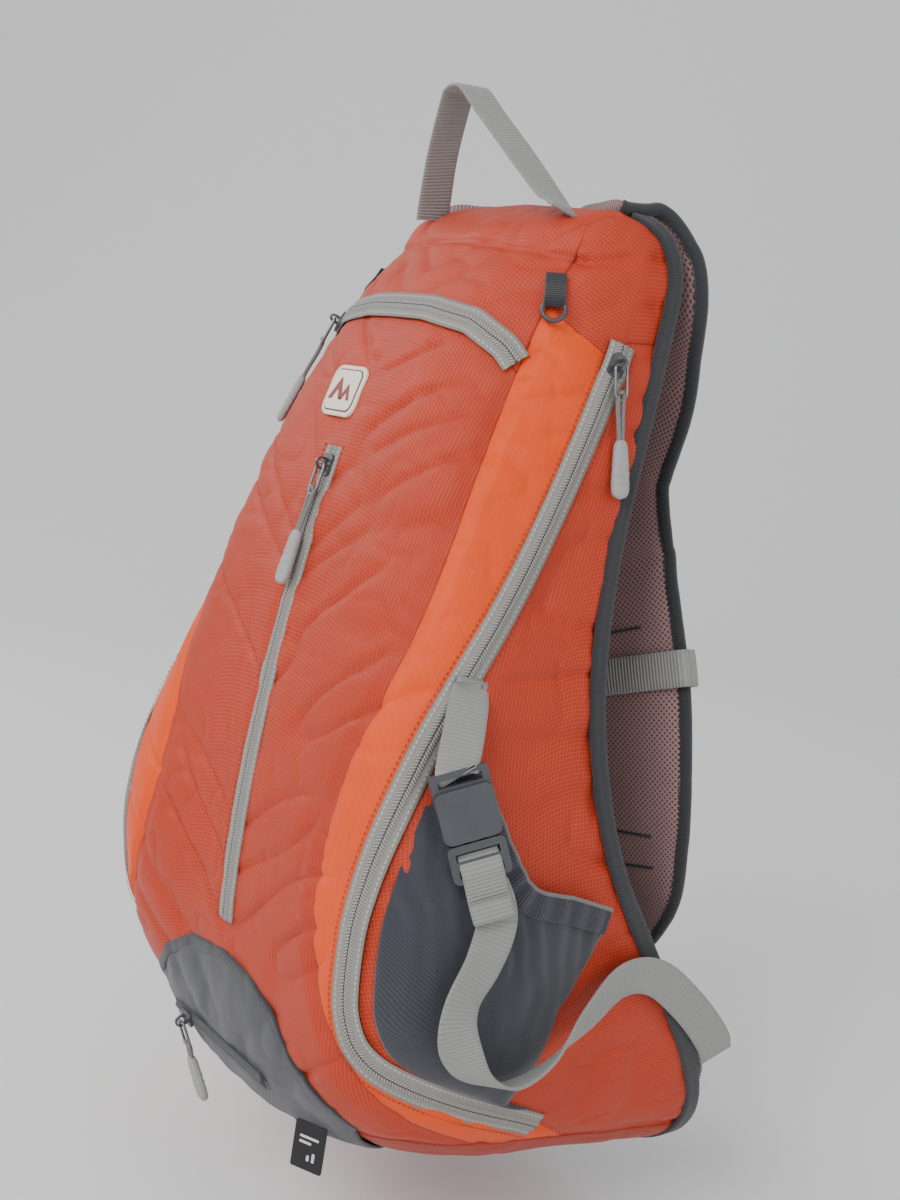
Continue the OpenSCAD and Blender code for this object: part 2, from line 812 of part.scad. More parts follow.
// Small buckle half hanging from the band on a short webbing
module tail_shape() {
  place(band_p, band_y, band_z)
    translate([-14, 0, -pad_t / 2 - band_gap - 1.6]) {
      translate([-7.5, -13, -tail_drop])
        cube([15, 18, tail_drop]);
      translate([-7.5, -46, -tail_drop])
        cube([15, 34, 1.5]);
      translate([0, -52, -tail_drop - 3])
        bar(22, 22, 5.2, 3);
    }
}
module sternum_buckle_r() {
  color("#35373b")
    home()
      tail_shape();
}
module sternum_buckle_l() {
  color("#35373b")
    home()
      left_side()
        tail_shape();
}

front_panel();
top_panel();
gusset_r();
gusset_l();
side_panel_r();
side_panel_l();
bottom_panel();
back_panel();
back_binding();
back_pads();
foam_sheet();
hydration_sleeve();
arc_zip_tape();
front_zip_tape();
side_zip_tape_r();
side_zip_tape_l();
rain_zip_tape();
side_pocket_r();
side_pocket_l();
pocket_hem_r();
pocket_hem_l();
rain_pocket();
rain_cover();
side_label();
front_badge();
grab_loop();
ring_tabs();
ring_r();
ring_l();
arc_slider();
front_slider();
side_slider_r();
side_slider_l();
rain_slider();
arc_pull();
front_pull();
side_pull_r();
side_pull_l();
rain_pull();
buckle_stubs();
buckle_female_r();
buckle_female_l();
buckle_male_r();
buckle_male_l();
compression_strap_r();
compression_strap_l();
shoulder_pad_r();
shoulder_pad_l();
pad_binding_r();
pad_binding_l();
lower_webbings();
ladder_locks();
sternum_band_r();
sternum_band_l();
sternum_buckle_r();
sternum_buckle_l();
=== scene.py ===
import bpy
import math
import numpy as np
from mathutils import Matrix, Vector


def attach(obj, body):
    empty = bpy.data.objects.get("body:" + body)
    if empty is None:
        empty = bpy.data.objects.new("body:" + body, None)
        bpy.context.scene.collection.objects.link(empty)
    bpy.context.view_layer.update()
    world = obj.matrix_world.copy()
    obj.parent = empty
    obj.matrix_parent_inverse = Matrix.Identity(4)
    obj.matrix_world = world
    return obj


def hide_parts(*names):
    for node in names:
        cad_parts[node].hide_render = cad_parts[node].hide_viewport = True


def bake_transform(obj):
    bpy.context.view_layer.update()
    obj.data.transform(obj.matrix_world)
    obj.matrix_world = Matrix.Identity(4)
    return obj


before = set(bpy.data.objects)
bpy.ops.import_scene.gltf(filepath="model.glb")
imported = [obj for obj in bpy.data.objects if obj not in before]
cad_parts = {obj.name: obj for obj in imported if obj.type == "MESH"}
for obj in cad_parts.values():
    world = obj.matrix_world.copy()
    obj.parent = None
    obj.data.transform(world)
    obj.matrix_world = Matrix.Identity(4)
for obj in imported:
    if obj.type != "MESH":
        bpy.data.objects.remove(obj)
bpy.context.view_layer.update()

HANG = np.array([-12.0, -40.0, 529.0])      # origin of the row frame in shape units, mm
FINE = 1.0

# ---------------------------------------------------------------- shape
ROWS = np.array([
    [-24, 70, 34, -70, 3, 10], [-18, 104, 56, -120, 4, 12], [2, 124, 64, -144, 5, 14],
    [34, 134, 56, -156, 7, 12], [88, 137, 20, -158, 8, 6], [150, 134, -16, -153, 8, 2],
    [225, 122, -26, -141, 6, 0], [300, 110, -14, -123, 5, 0], [365, 102, 5, -102, 3.4, 0],
    [410, 97, 17, -80, 2.9, 0], [440, 95, 22, -56, 2.7, 0], [460, 90, 14, -36, 3, 0],
    [468, 80, 0, -18, 2.5, 0]], float)
GUSSET = np.array([
    [.15, .62], [.193, .557], [.24, .497], [.277, .453], [.31, .403], [.343, .37],
    [.385, .347], [.418, .353], [.458, .375], [.503, .443], [.557, .51], [.595, .533],
    [.64, .547], [.7, .557], [.772, .56]])
ZIP = np.array([
    [.15, .76], [.2, .7], [.223, .63], [.25, .563], [.27, .51], [.283, .475], [.317, .45],
    [.355, .45], [.388, .455], [.423, .475], [.452, .505], [.488, .553], [.518, .607],
    [.548, .67], [.578, .723], [.615, .77], [.66, .807], [.717, .84]])
POCKET = np.array([
    [.225, .645], [.247, .67], [.315, .763], [.362, .88], [.385, .93], [.397, .85],
    [.405, .757], [.422, .72], [.46, .67], [.49, .61]])
ARC = np.array([[0, .757], [.17, .756], [.37, .745], [.5, .722], [.557, .704]])
TOP = np.array([[0, .757], [.17, .756], [.37, .745], [.5, .722], [.555, .704], [.562, .772],
                [.7, .745], [.84, .718], [.86, .74], [1, .74]])
RAIN_TOP = np.array([[0, .295], [.16, .287], [.27, .262], [.34, .225], [.42, .19], [.46, .15]])


def table(x, t):
    return np.interp(x, t[:, 0], t[:, 1])


def smooth_table(x, t):
    """The same seam line, rounded off at its corners."""
    return sum(table(x + d, t) for d in (-.012, -.006, 0, .006, .012)) / 5


def spline(tab, u):
    tab = np.asarray(tab, float)
    n = len(tab) - 1
    x = np.clip(np.asarray(u, float), 0, 1) * n
    i = np.minimum(x.astype(int), n - 1)
    f = (x - i)[..., None]
    a, b, c, d = (tab[np.clip(i + k, 0, n)] for k in (-1, 0, 1, 2))
    return .5 * (2 * b + (c - a) * f + (2 * a - 5 * b + 4 * c - d) * f ** 2
                 + (3 * b - a - 3 * c + d) * f ** 3)


def raw(t, v):
    t, v = np.broadcast_arrays(np.asarray(t, float), np.asarray(v, float))
    s = spline(ROWS, v)
    a = np.abs(t) * np.pi / 2
    sn, cs, n = np.sin(a), np.maximum(np.cos(a), 0), s[..., 4]
    r = (sn ** n + cs ** n) ** (-1 / n)
    y = s[..., 2] - (s[..., 2] - s[..., 3]) * r * cs
    return np.stack([np.sign(t) * s[..., 1] * r * sn, y,
                     s[..., 0] - s[..., 5] * (y + 60) / 100], -1)


def unit(a):
    return a / np.maximum(np.linalg.norm(a, axis=-1, keepdims=True), 1e-9)


def normal(t, v):
    e = .004
    t, v = np.broadcast_arrays(np.asarray(t, float), np.asarray(v, float))
    dt = raw(np.minimum(t + e, 1), v) - raw(np.maximum(t - e, -1), v)
    dv = raw(t, np.minimum(v + e, 1)) - raw(t, np.maximum(v - e, 0))
    return unit(np.cross(dt, dv))


def hash3(i):
    h = np.sin(i[..., 0] * 127.1 + i[..., 1] * 311.7 + i[..., 2] * 74.7) * 43758.5453
    return h - np.floor(h)


def noise(p):
    i = np.floor(p)
    f = p - i
    f = f * f * (3 - 2 * f)
    out = 0
    for a in (0, 1):
        for b in (0, 1):
            for c in (0, 1):
                w = ((f[..., 0] if a else 1 - f[..., 0]) * (f[..., 1] if b else 1 - f[..., 1])
                     * (f[..., 2] if c else 1 - f[..., 2]))
                out = out + w * hash3(i + np.array([a, b, c]))
    return out * 2 - 1


def fbm(p, octaves=3):
    return sum(noise(p * 2 ** k + 17.3 * k) / 2 ** k for k in range(octaves))


def bulge(t, v):
    """Slack fullness of the lower left side, which hangs fuller than the right one."""
    return 14 * np.exp(-((t + .42) / .2) ** 2) * np.exp(-((v - .37) / .13) ** 2)


def drape(p, t, v):
    """Soft wrinkles of the filled shell, as an offset along its normal."""
    q = p / 1000
    low = 2.0 * fbm(q * [16, 16, 11] + 3)
    diag = np.stack([q[..., 0] * 14 + q[..., 2] * 9, q[..., 1] * 12,
                     q[..., 2] * 40 - np.abs(q[..., 0]) * 26], -1)
    crease = (1 - np.abs(noise(diag + 5))) ** 5 * 2.6
    fine = (1 - np.abs(noise(q * [52, 52, 90] + 11))) ** 4 * .9
    return low - crease - fine + 1.4


def calm(t, v):
    """Small near the zippers, the badge and the pockets, where the cloth is held flat."""
    a = np.abs(t)
    d = np.minimum(np.abs(a - table(v, ZIP)) / .10, np.abs(v - table(a, ARC)) / .035 + (a > .56))
    d = np.minimum(d, a / .07 + np.clip(np.abs(v - .48) - .15, 0, 1) / .03)
    d = np.minimum(d, np.hypot((t + .06) / .16, (v - .669) / .045))
    d = np.clip(d, 0, 1)
    return .12 + .88 * d * d * (3 - 2 * d)


def surf(t, v, o=0.0, wrinkle=1.0):
    t, v = np.asarray(t, float), np.asarray(v, float)
    p, n = raw(t, v), normal(t, v)
    d = bulge(t, v) + np.asarray(o, float) + wrinkle * calm(t, v) * drape(p, t, v)
    return p + n * np.broadcast_to(d, p.shape[:-1])[..., None]


def back(s, v, o=0.0):
    p = spline(ROWS, v)
    s = np.asarray(s, float)
    return np.stack([-s * p[..., 1], p[..., 2] + o + 0 * s,
                     p[..., 0] - p[..., 5] * (p[..., 2] + 60) / 100 + 0 * s], -1)


# ---------------------------------------------------------------- materials
def lin(c):
    return tuple(((x / 255 + .055) / 1.055) ** 2.4 if x > 10 else x / 255 / 12.92 for x in c)


class Nodes:
    """Small helper that builds a node tree from short calls."""

    def __init__(self, name):
        self.mat = bpy.data.materials.new(name)
        self.mat.use_nodes = True
        self.t = self.mat.node_tree
        self.t.nodes.clear()
        self.out = self.t.nodes.new("ShaderNodeOutputMaterial")
        self.b = self.t.nodes.new("ShaderNodeBsdfPrincipled")
        self.t.links.new(self.b.outputs[0], self.out.inputs[0])

    def put(self, socket, value):
        if hasattr(value, "links"):
            self.t.links.new(value, socket)
        else:
            socket.default_value = value

    def math(self, op, a, b=0.0, c=0.0):
        n = self.t.nodes.new("ShaderNodeMath")
        n.operation = op
        for i, x in enumerate((a, b, c)):
            self.put(n.inputs[i], x)
        return n.outputs[0]

    def uv(self):
        n = self.t.nodes.new("ShaderNodeUVMap")
        s = self.t.nodes.new("ShaderNodeSeparateXYZ")
        self.t.links.new(n.outputs[0], s.inputs[0])
        return s.outputs[0], s.outputs[1]

    def position(self):
        n = self.t.nodes.new("ShaderNodeTexCoord")
        return n.outputs["Object"]

    def noise(self, scale, detail=3, vector=None):
        n = self.t.nodes.new("ShaderNodeTexNoise")
        n.inputs["Scale"].default_value = scale
        n.inputs["Detail"].default_value = detail
        self.t.links.new(vector if vector else self.position(), n.inputs["Vector"])
        return n.outputs["Fac"]

    def wave(self, x, period, phase=0.0):
        """0..1 cosine of x with that period."""
        w = self.math("COSINE", self.math("MULTIPLY_ADD", x, 2 * math.pi / period, phase))
        return self.math("MULTIPLY_ADD", w, .5, .5)

    def line(self, x, period, width):
        """1 on thin lines that repeat every period."""
        f = self.math("FRACT", self.math("DIVIDE", x, period))
        d = self.math("ABSOLUTE", self.math("SUBTRACT", f, .5))
        n = self.t.nodes.new("ShaderNodeMapRange")
        n.interpolation_type = "SMOOTHSTEP"
        self.put(n.inputs["Value"], d)
        n.inputs["From Min"].default_value = width / period
        n.inputs["From Max"].default_value = width / period * .35
        return n.outputs[0]

    def mix(self, fac, a, b):
        n = self.t.nodes.new("ShaderNodeMix")
        n.data_type = "RGBA"
        self.put(n.inputs[0], fac)
        self.put(n.inputs[6], (*a, 1) if isinstance(a, tuple) else a)
        self.put(n.inputs[7], (*b, 1) if isinstance(b, tuple) else b)
        return n.outputs[2]

    def bump(self, height, strength, distance=.001):
        n = self.t.nodes.new("ShaderNodeBump")
        n.inputs["Strength"].default_value = strength
        n.inputs["Distance"].default_value = distance
        self.t.links.new(height, n.inputs["Height"])
        self.t.links.new(n.outputs[0], self.b.inputs["Normal"])

    def done(self, color, rough, metal=0.0, sheen=0.0, spec=.5, coat=0.0):
        self.put(self.b.inputs["Base Color"], (*color, 1) if isinstance(color, tuple) else color)
        self.put(self.b.inputs["Roughness"], rough)
        self.b.inputs["Metallic"].default_value = metal
        self.b.inputs["Sheen Weight"].default_value = sheen
        self.b.inputs["Sheen Roughness"].default_value = .5
        self.b.inputs["Specular IOR Level"].default_value = spec
        self.b.inputs["Coat Weight"].default_value = coat
        return self.mat


def ripstop(name, rgb, grid_rgb, grid=.0021, share=.55, spec=.35):
    """Thin coated fabric with a reinforcing grid; UVs are in metres."""
    n = Nodes(name)
    u, v = n.uv()
    lines = n.math("MAXIMUM", n.line(u, grid, .00030), n.line(v, grid, .00030))
    big = n.noise(26, 4)
    small = n.noise(900, 2)
    weave = n.math("MULTIPLY", n.wave(u, .00042), n.wave(v, .00042))
    base = n.mix(n.math("MULTIPLY", big, .55), lin(rgb), tuple(x * .72 for x in lin(rgb)))
    base = n.mix(n.math("MULTIPLY", small, .25), base, tuple(x * .6 for x in lin(rgb)))
    color = n.mix(n.math("MULTIPLY", lines, share), base, lin(grid_rgb))
    n.bump(n.math("ADD", n.math("MULTIPLY", lines, .8), n.math("MULTIPLY", weave, .35)), .35, .0004)
    return n.done(color, n.math("MULTIPLY_ADD", big, .2, .42), sheen=.03, spec=spec)


def weave(name, rgb, pitch=.0011, depth=.5, rough=.75, rib=0.0, sheen=.25):
    """Plain or ribbed woven cloth; rib is the pitch of the ribs across a strap."""
    n = Nodes(name)
    u, v = n.uv()
    cross = n.math("ADD", n.math("MULTIPLY", n.wave(u, pitch), n.wave(v, pitch)),
                   n.math("MULTIPLY", n.wave(u, pitch, math.pi), n.wave(v, pitch, math.pi)))
    if rib:
        cross = n.math("ADD", n.math("MULTIPLY", cross, .4), n.wave(v, rib))
    dirt = n.noise(40, 4)
    fuzz = n.noise(1400, 2)
    dark = tuple(x * .55 for x in lin(rgb))
    color = n.mix(n.math("MULTIPLY", cross, .35), lin(rgb), dark)
    color = n.mix(n.math("MULTIPLY", dirt, .35), color, dark)
    n.bump(n.math("ADD", cross, n.math("MULTIPLY", fuzz, .3)), depth, .0005)
    return n.done(color, rough, sheen=sheen, spec=.25)


def spacer(name, rgb, hole_shade_rgb, pitch=.0031):
    """Knitted mesh with rows of small holes; their colour is the layer beneath, darkened with painted shade."""
    n = Nodes(name)
    u, v = n.uv()
    a = n.wave(u, pitch)
    b = n.wave(v, pitch)
    c = n.wave(u, pitch, math.pi)
    d = n.wave(v, pitch, math.pi)
    hole = n.math("MAXIMUM", n.math("MULTIPLY", a, b), n.math("MULTIPLY", c, d))
    hole = n.math("GREATER_THAN", hole, .62)
    color = n.mix(n.math("MULTIPLY", n.noise(60, 3), .4), lin(rgb), tuple(x * .7 for x in lin(rgb)))
    # painted shade: the holes take a dark colour for the shaded layer beneath them
    color = n.mix(n.math("MULTIPLY", hole, .8), color, lin(hole_shade_rgb))
    n.bump(n.math("SUBTRACT", 1.0, hole), .6, .0007)
    return n.done(color, .8, sheen=.3, spec=.2)


def zipper(name, rgb, coil_rgb):
    """Tape in U (metres from the centre line) with the coil's stitches along V; painted shade darkens the spaces
    between the stitches and the gap between the two coil rows.
    """
    n = Nodes(name)
    u, v = n.uv()
    a = n.math("ABSOLUTE", u)
    inside = n.math("LESS_THAN", a, .0026)
    teeth = n.math("MULTIPLY", n.wave(n.math("ADD", v, n.math("MULTIPLY", a, .5)), .0016), inside)
    coil_gap_shadow = n.math("LESS_THAN", a, .0003)
    stitch = n.line(n.math("SUBTRACT", a, .0052), .02, .00035)
    dash = n.math("GREATER_THAN", n.wave(v, .0028), .35)
    stitch = n.math("MULTIPLY", n.math("LESS_THAN", n.math("ABSOLUTE", n.math("SUBTRACT", a, .0056)), .0004), dash)
    rib = n.wave(v, .0008)
    base = n.mix(n.math("MULTIPLY", rib, .3), lin(rgb), tuple(x * .6 for x in lin(rgb)))
    base = n.mix(n.math("MULTIPLY", n.noise(50, 3), .4), base, tuple(x * .7 for x in lin(rgb)))
    color = n.mix(n.math("MULTIPLY", teeth, .9), base, lin(coil_rgb))
    # painted shade: the spaces between the coil's stitches are darkened towards near black
    color = n.mix(n.math("MULTIPLY", n.math("SUBTRACT", inside, teeth), .45), color, (.03, .03, .03))
    # painted shadow: the narrow gap between the two coil rows is a near-black line
    color = n.mix(n.math("MULTIPLY", coil_gap_shadow, .8), color, (.01, .01, .01))
    color = n.mix(n.math("MULTIPLY", stitch, .6), color, lin((200, 198, 190)))
    n.bump(n.math("ADD", n.math("MULTIPLY", teeth, 1.2), n.math("MULTIPLY", rib, .25)), .8, .0006)
    return n.done(color, .6, sheen=.1, spec=.35)


def hard(name, rgb, rough=.45, metal=0.0, grain=.25, coat=0.0, scratch=0.0):
    """Moulded or plated part with fine grain, random lighter mottling and optional scratches."""
    n = Nodes(name)
    g = n.noise(1500, 3)
    w = n.noise(70, 5)
    c = lin(rgb)
    color = n.mix(n.math("MULTIPLY", w, .5), c, tuple(min(1, x * 1.9 + .01) for x in c))
    if scratch:
        color = n.mix(n.math("MULTIPLY", n.math("GREATER_THAN", n.noise(240, 4), .62), scratch), color, (.45, .44, .42))
    n.bump(g, grain, .0003)
    return n.done(color, n.math("MULTIPLY_ADD", w, .25, rough - .12), metal=metal, spec=.5, coat=coat)


RED = ripstop("ripstop_red", (178, 44, 16), (214, 92, 54), share=.42)
# darker copy of the red ripstop: painted shade for the bottom panel, which faces the floor
RED_SHADED = ripstop("ripstop_red_painted_shade", (160, 42, 20), (200, 90, 60), share=.35)
ORANGE = ripstop("ripstop_orange", (236, 76, 2), (250, 118, 30), grid=.0048, share=.14)
LINING = weave("lining_dark", (58, 58, 62), depth=.3)
BINDING = weave("binding_twill", (50, 51, 55), pitch=.0009, rib=.0013, depth=.6)
TAPE = zipper("zipper_grey", (142, 139, 133), (176, 174, 168))
TAPE_DARK = zipper("zipper_slate", (62, 63, 68), (92, 93, 97))
WEBBING = weave("webbing_light", (150, 150, 147), pitch=.0012, rib=.0019, depth=.8, rough=.7)
MESH = spacer("pocket_mesh", (64, 66, 74), (26, 27, 31), pitch=.0016)
HEM = weave("pocket_hem", (56, 56, 66), pitch=.0011, rib=.0016, depth=.8)
HEM_EDGE = weave("pocket_edge", (120, 118, 118), pitch=.0009, depth=.5)
SPACER = spacer("strap_spacer_mesh", (150, 118, 116), (52, 36, 36))
SLATE = weave("slate_cloth", (74, 74, 80), pitch=.0008, depth=.4)
METAL = hard("slider_metal", (92, 93, 96), rough=.34, metal=.85, grain=.12, scratch=.25)
WIRE = hard("pull_wire", (120, 120, 122), rough=.3, metal=.9, grain=.1)
GRIP = hard("grip_rubber", (138, 138, 137), rough=.62, grain=.4)
CORD = weave("pull_cord", (132, 131, 128), pitch=.0008, depth=.7)
ACETAL = hard("acetal_black", (52, 54, 59), rough=.42, grain=.3, coat=.05)
CREAM = hard("badge_cream", (222, 206, 186), rough=.6, grain=.3)
INK = hard("badge_ink", (120, 46, 40), rough=.6, grain=.2)
INK_DARK = hard("badge_line", (70, 48, 44), rough=.6, grain=.2)
THREAD = weave("thread_red", (150, 58, 34), pitch=.0006, depth=.6)
THREAD_GREY = weave("thread_grey", (150, 150, 147), pitch=.0006, depth=.6)
THREAD_DARK = weave("thread_dark", (48, 46, 48), pitch=.0006, depth=.6)
LABEL = weave("label_black", (34, 34, 38), pitch=.0007, depth=.4)
LABEL_MARK = weave("label_mark", (214, 214, 212), pitch=.0007, depth=.4)
FOAM = hard("foam_sheet", (214, 210, 200), rough=.8, grain=.6)


# ---------------------------------------------------------------- meshes
def metres(p):
    return (np.asarray(p, float) - HANG) / 1000


def mesh(name, verts, faces, mat, body="pack", uv=None, slot=None, subsurf=0, thick=0.0,
         replaces=(), smooth=True):
    me = bpy.data.meshes.new(name)
    me.from_pydata([tuple(v) for v in metres(verts)], [], [tuple(int(i) for i in f) for f in faces])
    if uv is not None:
        layer = me.uv_layers.new(name="UVMap")
        idx = np.zeros(len(me.loops), np.int32)
        me.loops.foreach_get("vertex_index", idx)
        layer.data.foreach_set("uv", (np.asarray(uv, float)[idx] / 1000).astype(np.float32).ravel())
    me.materials.append(mat)
    for p in me.polygons:
        p.use_smooth = smooth
    me.update()
    ob = bpy.data.objects.new(name, me)
    bpy.context.scene.collection.objects.link(ob)
    if thick:
        m = ob.modifiers.new("thick", "SOLIDIFY")
        m.thickness = thick / 1000
        m.offset = -1
    if subsurf:
        m = ob.modifiers.new("round", "SUBSURF")
        m.levels = m.render_levels = subsurf
    if body:
        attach(ob, body)
    if replaces:
        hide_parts(*replaces)
    return ob


def grid_faces(n, m, wrap=False):
    i, j = np.meshgrid(np.arange(n - 1), np.arange(m if wrap else m - 1), indexing="ij")
    k = (i * m + j).ravel()
    k1 = (i * m + (j + 1) % m).ravel()
    return np.stack([k, k1, k1 + m, k + m], 1)


def lengths(p):
    """Distances along rows and columns of a point grid, as UVs in mm."""
    du = np.linalg.norm(np.diff(p, axis=1), axis=2).mean(0)
    u = np.concatenate([[0], np.cumsum(du)])
    dv = np.linalg.norm(np.diff(p, axis=0), axis=2).mean(1)
    v = np.concatenate([[0], np.cumsum(dv)])
    uu, vv = np.meshgrid(u - u[-1] / 2, v)
    return np.stack([uu, vv], -1).reshape(-1, 2)


def cloth_uv(p, base):
    """UVs that stay square on a panel: arc length across, height along."""
    du = np.linalg.norm(np.diff(base, axis=1), axis=2)
    u = np.concatenate([np.zeros((len(p), 1)), np.cumsum(du, 1)], 1)
    u = u - u[:, [u.shape[1] // 2]]
    dv = np.linalg.norm(np.diff(base, axis=0), axis=2)
    v = np.concatenate([np.zeros((1, p.shape[1])), np.cumsum(dv, 0)], 0)
    return np.stack([u, v], -1).reshape(-1, 2)


def sheet_grid(name, p, mat, uv=None, **kw):
    n, m = p.shape[:2]
    return mesh(name, p.reshape(-1, 3), grid_faces(n, m), mat,
                uv=lengths(p) if uv is None else uv, **kw)


def strip(p, lat, nor, width, section):
    """Grid that sweeps a section (across, up) along p; across is a share of width."""
    s = np.asarray(section, float)
    w = np.broadcast_to(np.asarray(width, float), (len(p),))
    return (p[:, None] + lat[:, None] * (s[None, :, 0:1] * w[:, None, None] / 2)
            + nor[:, None] * s[None, :, 1:2])


def frames(p, lat):
    tan = unit(np.gradient(p, axis=0))
    nor = unit(np.cross(lat, tan))
    return tan, unit(np.cross(tan, nor)), nor


def swept(name, p, lat, width, section, mat, caps=True, **kw):
    """Closed bar of that section along a path."""
    _, l, n = frames(p, lat)
    g = strip(p, l, n, width, section)
    k, m = g.shape[:2]
    f = [tuple(x) for x in grid_faces(k, m, wrap=True)]
    if caps:
        f += [tuple(range(m))[::-1], tuple((k - 1) * m + j for j in range(m))]
    s = np.asarray(section, float)
    wid = float(np.mean(width)) / 2
    u = s[:, 0] * wid
    v = np.concatenate([[0], np.cumsum(np.linalg.norm(np.diff(p, axis=0), axis=1))])
    uv = np.stack(np.meshgrid(u, v), -1).reshape(-1, 2)
    return mesh(name, g.reshape(-1, 3), f, mat, uv=uv, **kw)


def flat_section(t, edge=.06, cols=6, crown=0.0):
    """Webbing section with soft edges: thickness t, optional crowned top."""
    xs = np.linspace(-1, 1, cols + 1)
    top = [(x * (1 - edge), t / 2 + crown * (1 - x * x)) for x in xs]
    bot = [(x * (1 - edge), -t / 2) for x in xs[::-1]]
    return [(-1, 0), *top, (1, 0), *bot]


def tube(name, p, r, mat, sides=10, closed=False, **kw):
    tan = unit(np.roll(p, -1, 0) - np.roll(p, 1, 0)) if closed else unit(np.gradient(p, axis=0))
    ref = np.array([0.31, 0.57, 0.76])
    a = unit(ref - (tan @ ref)[:, None] * tan)
    b = np.cross(tan, a)
    ang = np.linspace(0, 2 * np.pi, sides, endpoint=False)
    r = np.broadcast_to(np.asarray(r, float), (len(p),))
    g = p[:, None] + r[:, None, None] * (a[:, None] * np.cos(ang)[None, :, None]
                                         + b[:, None] * np.sin(ang)[None, :, None])
    n = len(p)
    f = [tuple(x) for x in grid_faces(n, sides, wrap=True)]
    if closed:
        f += [((n - 1) * sides + j, (n - 1) * sides + (j + 1) % sides, (j + 1) % sides, j)
              for j in range(sides)]
    else:
        f += [tuple(range(sides))[::-1], tuple((n - 1) * sides + j for j in range(sides))]
    v = np.concatenate([[0], np.cumsum(np.linalg.norm(np.diff(p, axis=0), axis=1))])
    uv = np.stack(np.meshgrid(ang * float(r.mean()), v), -1).reshape(-1, 2)
    return mesh(name, g.reshape(-1, 3), f, mat, uv=uv, **kw)


def resample(p, step):
    d = np.concatenate([[0], np.cumsum(np.linalg.norm(np.diff(p, axis=0), axis=1))])
    x = np.arange(0, d[-1], step)
    return np.stack([np.interp(x, d, p[:, k]) for k in range(3)], 1)


def stitches(name, p, nor, mat, body="pack", pitch=3.0, length=2.0, r=.32):
    """A row of raised thread dashes along a path that lies on the cloth."""
    q = resample(p, pitch)
    ref = np.concatenate([[0], np.cumsum(np.linalg.norm(np.diff(p, axis=0), axis=1))])
    x = np.arange(0, ref[-1], pitch)
    n = unit(np.stack([np.interp(x, ref, nor[:, k]) for k in range(3)], 1))
    t = unit(np.gradient(q, axis=0))
    b = np.cross(t, n)
    ring = [(-1, 0, .1), (-.6, .9, .8), (0, 1, 1), (.6, .9, .8), (1, 0, .1)]
    vs, fs = [], []
    for a, tt, nn, bb in zip(q, t, n, b):
        k = len(vs)
        for s, w, h in ring:
            c = a + tt * s * length / 2
            vs += [c - bb * r * max(w, .2), c + nn * r * 1.5 * h, c + bb * r * max(w, .2)]
        for i in range(4):
            o = k + 3 * i
            fs += [(o, o + 3, o + 4, o + 1), (o + 1, o + 4, o + 5, o + 2)]
    vs = np.array(vs)
    return mesh(name, vs, fs, mat, body=body, uv=vs[:, :2])


# ---------------------------------------------------------------- shell panels
def seam_mask(s, r, ws=.10, wr=.06):
    """0 on a panel's edges, 1 in its middle."""
    e = np.minimum(np.minimum(s, 1 - s) / ws, np.minimum(r, 1 - r) / wr)
    e = np.clip(e, 0, 1)
    return e * e * (3 - 2 * e)


def panel(name, f, ns, nr, mat, node, puff=1.0, pucker=.55, ws=.1, wr=.06, wrinkle=1.0, slot=None):
    ns, nr = int(ns * FINE), int(nr * FINE)
    s, r = np.meshgrid(np.linspace(0, 1, ns), np.linspace(0, 1, nr))
    t, v = f(s, r)
    base = raw(t, v)
    m = seam_mask(s, r, ws, wr)
    edge = np.clip(np.minimum(s, 1 - s) / ws, 0, 1)
    gather = noise(np.stack([s * 3, base[..., 2] / 7, base[..., 1] / 9], -1))
    o = puff * m - .9 * (1 - m) + pucker * gather * np.clip(1.6 * edge * (1 - edge) * 2, 0, 1)
    p = surf(t, v, o, wrinkle=wrinkle)
    return sheet_grid(name, p, mat, uv=cloth_uv(p, base), thick=1.3, replaces=(node,), slot=slot)


def lerp(a, b, x):
    return a + (b - a) * x


V_LOW = .15


def front_f(s, r):
    u = 2 * s - 1
    v = lerp(V_LOW, smooth_table(np.abs(u) * .557, ARC), r)
    return u * smooth_table(v, GUSSET), v


def gusset_f(sign):
    def f(s, r):
        a = s if sign > 0 else 1 - s
        v = lerp(V_LOW, lerp(.772, .717, a), r)
        return sign * lerp(smooth_table(v, GUSSET), smooth_table(v, ZIP), a), v
    return f


def side_f(sign):
    def f(s, r):
        a = s if sign > 0 else 1 - s
        v = lerp(V_LOW, .742, r)
        return sign * lerp(smooth_table(v, ZIP), 1, a), v
    return f


panel("front_panel_cloth", front_f, 190, 260, RED, "front_panel", ws=.05, puff=1.2, slot="ripstop_red")
for side, sign in (("r", 1), ("l", -1)):
    panel(f"gusset_{side}_cloth", gusset_f(sign), 46, 260, ORANGE, f"gusset_{side}", puff=1.6, pucker=.8, ws=.2, slot="ripstop_orange")
    panel(f"side_panel_{side}_cloth", side_f(sign), 90, 230, RED, f"side_panel_{side}", puff=1.0, slot="ripstop_red")


def top_panel():
    cols = np.unique(np.concatenate([np.linspace(-1, 1, int(150 * FINE)), [-.562, -.555, .555, .562]]))
    rows = np.linspace(0, 1, int(60 * FINE))
    t, r = np.meshgrid(cols, rows)
    v = lerp(table(np.abs(t), TOP) - .004, 1, r)
    fold = -2.2 * np.exp(-((v - .865 + .07 * np.abs(t) ** 2) / .006) ** 2) * (np.abs(t) < .62)
    p = surf(t, v, .6 * np.clip(r / .1, 0, 1) + fold - .4)
    crest = np.array([0, -4, 469.0])
    caps = [lerp(p[-1], crest + [0, 0, .3 * np.sin(6 * cols[:, None])[0, 0]], k) + [0, 0, 4 * k] for k in (.25, .5, .75, .97)]
    q = np.concatenate([p, np.array(caps)], 0)
    return sheet_grid("top_panel_cloth", q, RED, uv=cloth_uv(q, q), thick=1.3, replaces=("top_panel",), slot="ripstop_red")


